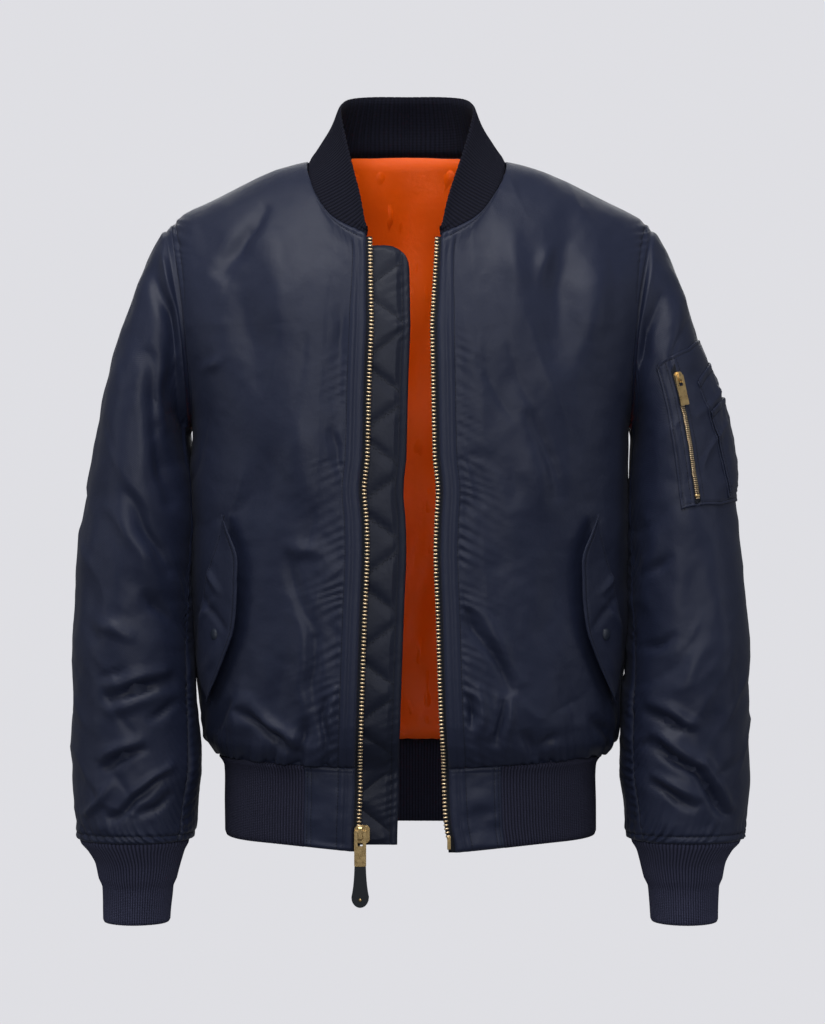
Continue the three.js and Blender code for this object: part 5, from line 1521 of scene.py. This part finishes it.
@dataclass
class Knitwear:
    """The ribbed collar, cuffs and waistband."""

    finishes: Finishes
    rib_mm: float = 3.05
    rib_height: float = 1.15
    facets: int = 6

    def ribs(self, length: float) -> int:
        """How many ribs fit a length, in a number that the inner face's step divides."""
        return int(round(length / self.rib_mm / 2)) * 2

    def lift(self, count: int, shape: tuple[int, int]) -> Array:
        """Rounded ribs: the root of a sine's size, so that the valleys are narrow."""
        turn = math.pi * count * np.linspace(0, 1, shape[1])
        return np.broadcast_to(self.rib_height * (np.sqrt(np.abs(np.sin(turn))) - 1), shape)

    def add(self, name: str, node: str, surface: Surface, length: float, rows: Array, thickness: float,
            side: Side, tube: bool, extra: Callable[[Patch], Array]) -> None:
        """Makes one ribbed piece.

        Args:
            name: the piece's name.
            node: the solid that it stands for.
            surface: gives points from the share round and the row.
            length: its length round in mm.
            rows: the rows.
            thickness: the wall in mm.
            side: which way the normals turn.
            tube: whether it closes on itself.
            extra: gives more height for a patch.
        """
        count = self.ribs(length)
        patch = Patch.of(surface, np.linspace(0, 1, count * self.facets + 1), rows, side)
        if tube:
            edges = [patch.normals[:, 1], patch.normals[:, -2]]
            patch.normals[:, 0] = patch.normals[:, -1] = unit(edges[0] + edges[1])
        patch.from_start = np.broadcast_to(np.linspace(0, count * self.rib_mm, count * self.facets + 1),
                                           patch.points.shape[:2])
        patch.from_end = patch.from_start[:, -1:] - patch.from_start
        height = self.lift(count, patch.points.shape[:2]) + extra(patch)
        obj = shell(name, patch, height, thickness, side, tube=tube, round_edges=0.45)
        # The collar takes the darker copy of the knit as painted shade, the waistband the plain one, and the
        # cuffs the lighter copy as painted light.
        special = {"collar": self.finishes.shaded_collar_knit, "waistband_knit": self.finishes.knit}
        finish = special.get(node, self.finishes.lit_cuff_knit)
        declare_sheet(dress(obj, finish, nodes=[node]), patch)

    def collar(self) -> None:
        """The collar, which stands up and comes forward to the zip."""
        def soft(patch: Patch) -> Array:
            """Waves that follow the collar's height and pull in at its ends."""
            wave = 1.2 * soft_noise(patch.from_start, 0.3 * patch.from_bottom, 44, 130)
            return wave * smooth(patch.from_bottom / 8) * smooth(patch.from_top / 8)
        self.add("knit_collar", "collar", lambda s, v: collar_point(2 * s - 1, v), 474,
                 np.linspace(-1 / 15, 1, 33), KNIT, Side.TURN, False, soft)

    def cuffs(self) -> None:
        """Both cuffs."""
        for side in (LEFT, RIGHT):
            def soft(patch: Patch, seed: int = 140 + side) -> Array:
                """Small dents, and a pull where the sleeve is gathered onto the cuff."""
                pull = Pucker(12, 10, 1.0, 0.1, seed).height(patch.from_bottom, patch.from_start)
                tucked = 1.6 * smooth((9 - patch.from_bottom) / 3)
                return pull + 0.5 * soft_noise(patch.from_start, patch.from_bottom, 21, seed + 1) - tucked
            top, end = -CUFF.columns["down"][[0, -1]]
            rows = np.concatenate([top + np.array([8, 6, 4, 2]), np.linspace(top, end, 33)])
            self.add(f"knit_cuff_{WORDS[side]}", f"cuff_{WORDS[side]}",
                     lambda s, z, side=side: cuff_point(side, 360 * s, z), 262, rows, CUFF_KNIT,
                     Side.on(side), True, soft)

    def waistband(self) -> None:
        """The waistband's knit, from one front round the back to the other."""
        def knit_start(side: int) -> float:
            """The hem row's u where the knit begins."""
            return float(front_place(side, np.array(PANEL_END[side] - KNIT_LAP), np.array(HEM_Z)))

        legs = np.linspace(0, 4, 961)
        spans = {0: (LEFT, -1, knit_start(LEFT), 1.0), 1: (LEFT, 1, 1.0, 0.0),
                 2: (RIGHT, 1, 0.0, 1.0), 3: (RIGHT, -1, 1.0, knit_start(RIGHT))}

        def run(leg: Array, z: Array) -> Array:
            """A point of the run, by leg and height."""
            points = np.zeros((*np.shape(leg), 3))
            for number, (side, facing, start, end) in spans.items():
                share = np.clip(leg - number, 0, 1)
                chosen = (leg >= number)[..., None]
                points = np.where(chosen, body_row(side, facing, mix(start, end, share), z), points)
            return points

        hem = run(legs, np.full_like(legs, HEM_Z))
        length = np.concatenate([[0], np.cumsum(np.linalg.norm(np.diff(hem, axis=0), axis=-1))])

        def surface(s: Array, v: Array) -> Array:
            """The run at an even share of its length, from the hem to the waist seam."""
            leg = np.interp(np.clip(s, 3e-4, 1 - 3e-4) * length[-1], length, legs)
            low = run(leg, np.full_like(leg, HEM_Z))
            front = waist_seam_z(low[..., 0], -1)
            top = np.where(low[..., 1] < 0, front, WAIST_SEAM_Z) - GAP / 2
            hem_line = np.where(low[..., 1] < 0, hem_z(low[..., 0]), HEM_Z)
            points = run(leg, mix(hem_line, top, np.minimum(v, 1)))
            points[..., 2] += 40 * np.maximum(v - 1, 0)
            return points

        def soft(patch: Patch) -> Array:
            """A slight pull at the top where the cloth is gathered onto the knit."""
            sunk = np.concatenate([np.zeros(22), np.full(3, 4.2)])[:, None]
            return (Pucker(14, 12, 0.8, 0.1, 150).height(patch.from_top, patch.from_start)
                    + 0.8 * soft_noise(patch.from_start, patch.from_bottom, 60, 151) - sunk)
        self.add("knit_waistband", "waistband_knit", surface, float(length[-1]),
                 np.linspace(0, 8 / 7, 25), KNIT, Side.TURN, False, soft)

    def build(self) -> None:
        """Every ribbed piece."""
        self.collar()
        self.cuffs()
        self.waistband()


@dataclass
class FrontEdge:
    """What lies along the open front: waistband panels, tapes, teeth and the quilted storm flap."""

    finishes: Finishes
    sewing: Sewing
    tooth_pitch: float = 3.62
    flap_reach: float = 42.0
    flap_hidden: float = 20.0
    flap_depth: float = 11.6
    flap_depth_hidden: float = 5.4
    quilt_start: float = -137.0
    quilt_pitch: float = 70.5

    def panels(self) -> None:
        """The woven ends of the waistband, with a double row of sewing beside the knit."""
        for side in (LEFT, RIGHT):
            word = WORDS[side]
            share = float(front_place(side, np.array(PANEL_END[side]), np.array(HEM_Z)))
            turn = Side.on(side)

            def surface(u: Array, v: Array, side: int = side, share: float = share) -> Array:
                """The panel from its edge to the knit, and from the hem to the seam."""
                low = body_row(side, -1, u * share, np.full_like(u, HEM_Z))
                top = waist_seam_z(low[..., 0], -1) - GAP / 2
                return body_row(side, -1, u * share, mix(hem_z(low[..., 0]), top, v))
            patch = Patch.of(surface, clustered(48), clustered(64), turn)
            x, z = patch.points[..., 0], patch.points[..., 2]
            edge, outer = patch.from_start, patch.from_end
            low, top = patch.from_bottom, patch.from_top
            calm = smooth(edge / 16) * smooth(outer / 6) * smooth(low / 8) * smooth(top / 6)
            height = 1.5 * soft_noise(0.45 * x, z, 15, 160 + side) + 0.6 * soft_noise(0.6 * x, z, 8, 162)
            height = height * calm + seam_roll(edge, 1.5, 1.4) + seam_roll(outer, 1.2, 1.8)
            height += seam_roll(top, 1.3, 2.0) + seam_roll(low, 1.2, 2.2)
            height += groove(edge, 9, 0.75, 1.3) + groove(edge, 16.5, 0.5, 1.5)
            height += 0.55 * bump(edge - 12.6, 2.6)
            height += groove(outer, 4, 0.45, 1.3) + groove(outer, 8, 0.45, 1.3) + groove(top, 4, 0.3, 1.3)
            hang(f"cloth_waist_panel_{word}", f"waistband_panel_{word}", patch, height, SHELL, turn,
                 self.finishes.nylon)
            for distance, target in ((edge, 16.5), (-outer, -4.0), (-outer, -8.0)):
                self.sewing.add(patch.line(distance, target, height, slice(5, -2)))

    def tapes_and_teeth(self) -> None:
        """The zip's tapes, each with its row of brass teeth clamped over the edge."""
        rows = np.concatenate([np.linspace(-1, 0, 33), np.linspace(0, 0.99, 193)[1:]])
        for side in (LEFT, RIGHT):
            word = WORDS[side]
            turn = Side.on(side)
            patch = Patch.of(lambda inward, w, side=side: strip_point(side, inward, w),
                             np.linspace(-PLACKET - TOOTH_HALF + 0.6, TAPE_HIDDEN, 9), rows, turn)
            height = np.full(patch.points.shape[:2], -TAPE_DEPTH)
            hang(f"zip_tape_weave_{word}", f"zip_tape_{word}", patch, height, TAPE, turn,
                 self.finishes.tape)
            first = -0.7 if side == LEFT else -0.84
            w = np.concatenate([np.linspace(first, 0, 60), np.linspace(0, 0.984, 400)[1:]])
            centre = strip_point(side, np.full_like(w, -PLACKET), w)
            edge = strip_point(side, np.full_like(w, -PLACKET + 1.0), w)
            tangent = unit(np.gradient(centre, axis=0))
            normal = unit(np.cross(edge - centre, tangent)) * side
            path = Line(centre - normal * (TAPE_DEPTH + TAPE / 2), normal)
            at, along, out = path.even(self.tooth_pitch, 1.2 if side == LEFT else 3.0)
            across = unit(np.cross(along, out))
            teeth = bars(f"zip_teeth_{word}", at, across, out, 4.9, 2.15, 3.1, 8)
            dress(teeth, self.finishes.teeth)

    def puff(self, inward: Array, z: Array) -> Array:
        """Padding between the zigzag quilting: low at a line, full between lines."""
        across = (inward + self.flap_reach) / (self.flap_reach + PLACKET)
        wave = np.abs(np.mod((z - self.quilt_start) / self.quilt_pitch, 1) * 2 - 1)
        return np.sqrt(smooth(np.abs(wave - across) / 0.4))

    def quilt_lines(self, patch: Patch, height: Array, columns: Array) -> None:
        """Sews each leg of the zigzag across the flap."""
        across = (columns + self.flap_reach) / (self.flap_reach + PLACKET)
        shown = (across > 0.19) & (across < 1.1)
        z = patch.points[..., 2]
        raised = patch.raised(height)
        count = int((z.max() - z.min()) / self.quilt_pitch) + 3
        for turn in range(-count, 3):
            for way in (1, -1):
                goal = self.quilt_start + self.quilt_pitch * (turn + 0.5 + way * across[shown] / 2)
                if goal.min() < z.min() + 4 or goal.max() > z.max() - 10:
                    continue
                index = np.abs(z[:, shown] - goal[None, :]).argmin(axis=0)
                chosen = np.flatnonzero(shown)
                self.sewing.add(Line(raised[index, chosen], patch.normals[index, chosen]))

    def storm_flap(self) -> None:
        """The quilted flap behind the left zip, with a row of sewing inside its free edge."""
        columns = np.concatenate([np.linspace(-self.flap_reach, 0, 57),
                                  np.linspace(0, self.flap_hidden, 9)[1:]])

        def surface(inward: Array, share: Array) -> Array:
            """The flap's place on the edge strip; its free top corner is rounded off."""
            corner = 1 - np.sqrt(1 - np.clip((-inward / self.flap_reach - 0.42) / 0.58, 0, 1) ** 2)
            return strip_point(LEFT, inward, mix(-0.93, 0.968 - 0.07 * corner, share))
        patch = Patch.of(surface, columns, np.linspace(0, 1, 349), Side.TURN)
        inward = np.broadcast_to(columns, patch.points.shape[:2])
        patch.normals[..., 0] *= smooth(inward / 10)
        patch.normals = unit(patch.normals)
        z = patch.points[..., 2]
        sunk = mix(self.flap_depth_hidden, self.flap_depth, smooth((self.flap_hidden - inward) / 12))
        free = inward + self.flap_reach
        ends = smooth(patch.from_bottom / 6) * smooth(patch.from_top / 6)
        padding = 2.1 * self.puff(inward, z) * smooth((free - 8.5) / 5) * ends
        ruffle = Pucker(9, 9, 0.7, 0.4, 170).height(free - 7.5, patch.from_bottom) * smooth(free / 3)
        height = padding + ruffle + 0.7 * bump(free - 4, 2.6) + groove(free, 7.5, 0.7, 1.2)
        height = height + 0.5 * soft_noise(inward, z, 22, 172) + seam_roll(free, 0.9, 1.2) - sunk
        height = np.where(inward > 0, np.minimum(height, -sunk), height)
        # The flap's darker copy of the shell nylon is painted shade.
        hang("cloth_storm_flap", "storm_flap", patch, height, FLAP_CLOTH, Side.TURN, self.finishes.shaded_quilt)
        self.sewing.add(patch.line(free, 7.5, height, slice(2, -2)))
        self.quilt_lines(patch, height, columns)

    def build(self) -> None:
        """Everything along the open front."""
        self.panels()
        self.tapes_and_teeth()
        self.storm_flap()


@dataclass
class Pockets:
    """The slant pocket flaps on the fronts and the zip and pen pockets on the right sleeve."""

    finishes: Finishes
    sewing: Sewing
    torso: Torso
    sleeves: Sleeves
    flap_seat: float = 1.2
    flap_open: float = 5.5
    stitch_in: float = 4.5
    zip_line: float = 9.2

    def flap(self, side: int) -> None:
        """A slant flap: sewn along the side seam's side, and lifting along its free edge."""
        word = WORDS[side]
        turn = Side.on(side)

        def surface(opening: Array, along: Array) -> Array:
            """The flap's place on the front, by its share towards the free edge and down its length."""
            row = along * (len(POCKET_FLAP.columns["row"]) - 1)
            x = mix(POCKET_FLAP.at_row("sewnX", row), POCKET_FLAP.at_row("freeX", row), opening)
            z = mix(POCKET_FLAP.at_row("sewnZ", row), POCKET_FLAP.at_row("freeZ", row), opening)
            return body_row(side, -1, front_place(side, x, z), z)
        columns, rows = clustered(32, 0.4), clustered(128, 0.5)
        patch = Patch.of(surface, columns, rows, turn)
        x, z = patch.points[..., 0], patch.points[..., 2]
        opening = np.broadcast_to(columns, x.shape)
        free, sewn = patch.from_end, patch.from_start
        below = crease_height(FRONT_CREASES[side], x, z, 20 + side) + self.torso.common(patch, 30 + side)
        ridge = crease_height(creases([
            (side * 198, -408, side * 182, -428, 3.5, 1.6), (side * 201, -432, side * 176, -462, 4, -1.5),
            (side * 205, -462, side * 186, -436, 4, 1.4), (side * 196, -505, side * 184, -480, 5, 1.0),
        ]), x, z, 180 + side)
        tips = np.minimum(patch.from_bottom, patch.from_top)
        height = below + self.flap_seat + self.flap_open * opening ** 2 + FLAP_CLOTH
        height += ridge * smooth(free / 4) * smooth(sewn / 3) + groove(free, self.stitch_in, 0.55, 1.3)
        height += 0.5 * bump(free - 2, 1.6) + seam_roll(sewn, 1.6, 1.8)
        height += groove(sewn, self.stitch_in, 0.4, 1.2)
        hang(f"cloth_pocket_flap_{word}", f"pocket_flap_{word}", patch, height, FLAP_CLOTH, turn,
             self.finishes.nylon)
        wide = slice(int((tips[:64, 16] < 18).sum()), -int((tips[64:, 16] < 18).sum()))
        self.sewing.add(patch.line(-free, -self.stitch_in, height, wide))
        self.sewing.add(patch.line(sewn, self.stitch_in, height, wide))

    def layer(self, name: str, node: str, line_at: Surface, t_at: Surface, columns: Array, rows: Array,
              lift: Callable[[Patch, Array, Array], Array], thickness: float,
              material: bpy.types.Material, slot: str) -> tuple[Patch, Array]:
        """A layer on the right sleeve, made from the sleeve's own points and creases.

        Args:
            name: the piece's name.
            node: the solid that it stands for.
            line_at: the sleeve's line at a column and row.
            t_at: the place down the sleeve at a column and row.
            columns: the columns.
            rows: the rows.
            lift: the outer face's height above the sleeve.
            thickness: the wall in mm.
            material: its finish.
            slot: not used.

        Returns:
            The patch and the outer face's height.
        """
        def surface(c: Array, v: Array) -> Array:
            """The sleeve's point there."""
            t = t_at(c, v)
            return sleeve_point(RIGHT, top_angle(line_at(c, v) / SLEEVE_LINES, t), t)
        patch = Patch.of(surface, columns, rows, Side.KEEP)
        c, v = np.meshgrid(columns, rows)
        height = self.sleeves.height(RIGHT, patch) + lift(patch, line_at(c, v), t_at(c, v))
        hang(name, node, patch, height, thickness, Side.KEEP, material)
        return patch, height

    def sleeve_pocket(self) -> None:
        """The zip pocket with its slanted top, its tape and small teeth, and two pen pockets."""
        def pocket_t(c: Array, v: Array) -> Array:
            """From the pocket's slanted top edge to its bottom edge."""
            return mix(SLEEVE_POCKET.at("top", c), SLEEVE_POCKET.at("bottom", c), v)

        def patch_lift(patch: Patch, line: Array, t: Array) -> Array:
            """A flat layer with rolled edges and a groove where it is sewn."""
            edge = np.minimum(np.minimum(patch.from_start, patch.from_end),
                              np.minimum(patch.from_bottom, patch.from_top))
            zip_way = np.abs(line - self.zip_line) * 26
            return (1.9 + groove(edge, 3.2, 0.5, 1.2) - 0.5 * bump(zip_way, 3) + 0.8 * bump(zip_way - 4.5, 2)
                    + 0.5 * soft_noise(patch.from_start, patch.from_bottom, 14, 190) * smooth(edge / 6))
        rows = clustered(96, 0.4)
        columns = mix(4.0, 10.0, rows)
        patch, height = self.layer("cloth_sleeve_pocket", "sleeve_pocket", lambda c, v: c, pocket_t, columns,
                                   rows, patch_lift, PATCH, self.finishes.nylon, "shell_nylon")
        self.sewing.add(patch.line(-patch.from_end, -3.2, height))
        flat = patch.turned()
        self.sewing.add(flat.line(flat.from_start, 3.2, height.T))
        self.sewing.add(flat.line(-flat.from_end, -3.2, height.T))
        lines = np.broadcast_to(columns, height.shape)
        for beside in (0.30, -0.30):
            self.sewing.add(patch.line(lines, self.zip_line + beside, height, slice(6, -5)))
        self.sleeve_zip()
        self.pen_pockets()

    def sleeve_zip(self) -> None:
        """The closed zip on the pocket, with its bottom stop."""
        patch, height = self.layer(
            "zip_tape_weave_sleeve", "sleeve_zip_tape", lambda c, v: self.zip_line + 0.14 * c,
            lambda c, v: mix(0.176, 0.398, v) + 0 * c, np.linspace(-1, 1, 9), np.linspace(0, 1, 97),
            lambda patch, line, t: np.full(line.shape, 2.6), 0.8, self.finishes.tape, "zip_tape")
        path = Line(patch.raised(height + 0.2)[6:-2, 4], patch.normals[6:-2, 4])
        at, along, out = path.even(1.9)
        teeth = bars("zip_teeth_sleeve", at, unit(np.cross(along, out)), out, 4.2, 1.25, 1.6, 6)
        dress(teeth, self.finishes.teeth)
        stop = Line(path.points[-3:], path.normals[-3:]).even(50.0)
        dress(bars("zip_stop_sleeve", *stop, 3.2, 5.6, 2.6, 8), self.finishes.brass)

    def pen_pockets(self) -> None:
        """Two open pockets for pens, one on the other, which stand out in the middle."""
        shapes = [("tall", 0.24, 0.418, 8.0, 7.45), ("short", 0.292, 0.412, 7.75, 7.4)]
        for number, (word, top, bottom, front_top, front_bottom) in enumerate(shapes):
            def line_at(c: Array, v: Array, a: float = front_top, b: float = front_bottom) -> Array:
                """From the back edge to a front edge that slants inwards."""
                return mix(4.0, mix(a, b, v), c)

            def lift(patch: Patch, line: Array, t: Array, number: int = number) -> Array:
                """The bulge, with crumples, a rolled mouth and a sewn edge."""
                bulge = (3.0 * smooth((t - 0.235) / 0.05) * smooth((0.422 - t) / 0.05)
                         * smooth((line - 4.0) / 1.2) * smooth((7.5 - line) / 1.0))
                down = patch.from_bottom
                crumple = (1.2 * soft_noise(patch.from_start, 0.5 * down, 15, 200 + number)
                           + 0.5 * soft_noise(patch.from_start, down, 7, 202))
                sewn = np.minimum(np.minimum(patch.from_start, patch.from_end), patch.from_top)
                mouth = 0.9 * bump(down - 2, 3) + groove(down, 7, 0.4, 1.2)
                return (2.9 + 1.4 * number + bulge + mouth + crumple * smooth(sewn / 7)
                        + groove(sewn, 3, 0.4, 1.2))
            patch, height = self.layer(
                f"cloth_pen_pocket_{word}", f"pen_pocket_{word}", line_at,
                lambda c, v, a=top, b=bottom: mix(a, b, v) + 0 * c, clustered(72, 0.4), clustered(72, 0.4),
                lift, PATCH, self.finishes.nylon, "shell_nylon")
            flat = patch.turned()
            self.sewing.add(flat.line(flat.from_start, 7.0, height.T))
            self.sewing.add(patch.line(-patch.from_end, -3.0, height))

    def build(self) -> None:
        """Every pocket."""
        for side in (LEFT, RIGHT):
            self.flap(side)
        self.sleeve_pocket()


@dataclass
class Hardware:
    """Sliders, pulls, snaps and the zip's pin."""

    finishes: Finishes

    def rounded(self, node: str, name: str, material: bpy.types.Material, body: str,
                width: float) -> None:
        """Adds a copy of a solid with its sharp edges broken by a small bevel.

        Args:
            node: the solid.
            name: the piece's name.
            material: its finish.
            body: the body that it rides on.
            width: the bevel in mm.
        """
        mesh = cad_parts[node].data.copy()
        mesh.name = name
        obj = bpy.data.objects.new(name, mesh)
        bpy.context.scene.collection.objects.link(obj)
        weld = obj.modifiers.new("weld", "WELD")
        weld.merge_threshold = 1e-5
        bevel = obj.modifiers.new("bevel", "BEVEL")
        bevel.width, bevel.segments = width * MM, 2
        bevel.limit_method, bevel.angle_limit = "ANGLE", math.radians(40)
        mesh.polygons.foreach_set("use_smooth", np.ones(len(mesh.polygons), bool))
        smooth_by = obj.modifiers.new("normals", "WEIGHTED_NORMAL")
        smooth_by.keep_sharp = False
        dress(obj, material, body, [node])

    def build(self) -> None:
        """Every hard piece."""
        brass, rubber, enamel = self.finishes.brass, self.finishes.rubber, self.finishes.enamel
        for node, name, material, slot, body, width in (
                ("front_slider", "slider_front", brass, "brass", CLOTH_BODY, 0.35),
                ("front_pull_plate", "pull_front", brass, "brass", "front_pull", 0.2),
                ("front_pull_grip", "grip_front", rubber, "grip_rubber", "front_pull", 0.9),
                ("sleeve_slider", "slider_sleeve", brass, "brass", CLOTH_BODY, 0.15),
                ("sleeve_pull_plate", "pull_sleeve", brass, "brass", "sleeve_pull", 0.15),
                ("zip_pin", "pin_zip", brass, "brass", CLOTH_BODY, 0.4),
                ("snap_left", "snap_cap_left", enamel, "snap_enamel", CLOTH_BODY, 0.2),
                ("snap_right", "snap_cap_right", enamel, "snap_enamel", CLOTH_BODY, 0.2)):
            self.rounded(node, name, material, body, width)
        self.rivet()

    def rivet(self) -> None:
        """The small brass rivet near the end of the front pull's grip."""
        low, high = (np.array(corner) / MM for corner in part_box("front_pull_grip"))
        at = np.array([[(low[0] + high[0]) / 2, low[1] - 0.1, low[2] + 7.5]])
        ahead, up = np.array([[0.0, -1.0, 0.0]]), np.array([[0.0, 0.0, 1.0]])
        obj = bars("rivet_front", at, ahead, up, 1.2, 2.6, 2.6, 16)
        dress(obj, self.finishes.brass, "front_pull")


@dataclass
class Studio:
    """The pale floor and backdrop, the soft lights and the camera."""

    paper: tuple[float, float, float] = (0.735, 0.735, 0.770)
    lens: float = 105.5
    sensor: float = 36.0
    distance: float = 3.0
    eye_x: float = 0.002
    eye_z: float = -0.352

    def backdrop(self) -> None:
        """A floor that curves up into a wall, evenly lit like paper."""
        turn = np.linspace(0, math.pi / 2, 13)
        bend = np.stack([4 + 1.5 * np.sin(turn), -0.1 - 1.5 * np.cos(turn)], axis=-1)
        profile = np.concatenate([[[-6.0, -1.6]], bend, [[5.5, 5.0]]])
        x = np.array([-9.0, 9.0])
        points = stack(x[None, :], profile[:, :1], profile[:, 1:]).reshape(-1, 3) / MM
        numbers = np.arange(len(points)).reshape(-1, 2)
        obj = new_object("paper_backdrop", points, grid_quads(numbers, False), np.zeros((0, 3), int))
        tree = Tree("paper")
        grain = tree.noise(tree.place("Object"), 3.0)
        tree.set(Base_Color=(0.02, 0.02, 0.02, 1.0), Roughness=1.0,
                 Emission_Color=tree.blend(grain, tuple(c * 0.992 for c in self.paper), self.paper))
        tree.set(Emission_Strength=1.0, Specular_IOR_Level=0.0)
        obj.data.materials.append(tree.material)
        obj.visible_glossy = obj.visible_diffuse = obj.visible_shadow = False

    def light(self, name: str, at: tuple[float, float, float], aim: tuple[float, float, float],
              size: tuple[float, float], power: float, colour: tuple[float, float, float]) -> None:
        """Adds a soft rectangular light.

        Args:
            name: its name.
            at: its place in metres.
            aim: the point that it faces.
            size: its width and height in metres.
            power: its power in watts.
            colour: its colour.
        """
        data = bpy.data.lights.new(name, "AREA")
        data.shape, data.size, data.size_y = "RECTANGLE", *size
        data.energy, data.color = power, colour
        obj = bpy.data.objects.new(name, data)
        obj.location = at
        obj.rotation_euler = (Vector(aim) - Vector(at)).to_track_quat("-Z", "Y").to_euler()
        bpy.context.scene.collection.objects.link(obj)

    def build(self) -> None:
        """The whole studio."""
        self.backdrop()
        self.light("key", (-0.35, -1.1, 2.0), (0.0, 0.0, -0.25), (2.2, 1.0), 52.0, (0.99, 0.99, 1.0))
        self.light("front_fill", (0.0, -3.2, 0.5), (0.0, 0.0, -0.40), (1.6, 1.2), 31.5, (0.97, 0.98, 1.0))
        self.light("left_side", (-2.2, -0.9, 0.1), (0.0, 0.0, -0.35), (0.8, 2.0), 7.0, (0.92, 0.95, 1.0))
        self.light("right_side", (2.2, -0.9, 0.1), (0.0, 0.0, -0.35), (0.8, 2.0), 7.0, (0.92, 0.95, 1.0))
        self.light("back_fill", (0.0, 2.6, 0.9), (0.0, 0.0, -0.35), (2.4, 1.6), 30.0, (1.0, 1.0, 1.0))
        world = bpy.data.worlds.new("studio")
        world.use_nodes = True
        sky = world.node_tree.nodes["Background"].inputs
        sky["Color"].default_value = (0.80, 0.82, 0.88, 1.0)
        sky["Strength"].default_value = 0.20
        scene = bpy.context.scene
        scene.world = world
        scene.view_settings.view_transform = "Standard"
        camera = bpy.data.cameras.new("camera")
        camera.lens, camera.sensor_width = self.lens, self.sensor
        obj = bpy.data.objects.new("camera", camera)
        obj.location = (self.eye_x, -self.distance, self.eye_z)
        obj.rotation_euler = (math.pi / 2, 0.0, 0.0)
        scene.collection.objects.link(obj)
        scene.camera = obj


def main() -> None:
    """Builds the studio and every piece."""
    logging.basicConfig(level=logging.INFO, format="%(message)s")
    Studio().build()
    finishes = Finishes()
    sewing = Sewing(finishes)
    torso, sleeves = Torso(finishes, sewing), Sleeves(finishes, sewing)
    for side in (LEFT, RIGHT):
        torso.front(side)
    torso.back()
    torso.lining()
    sleeves.build()
    Knitwear(finishes).build()
    FrontEdge(finishes, sewing).build()
    Pockets(finishes, sewing, torso, sleeves).build()
    sewing.build("stitches")
    Hardware(finishes).build()


if __name__ == "__main__":
    main()
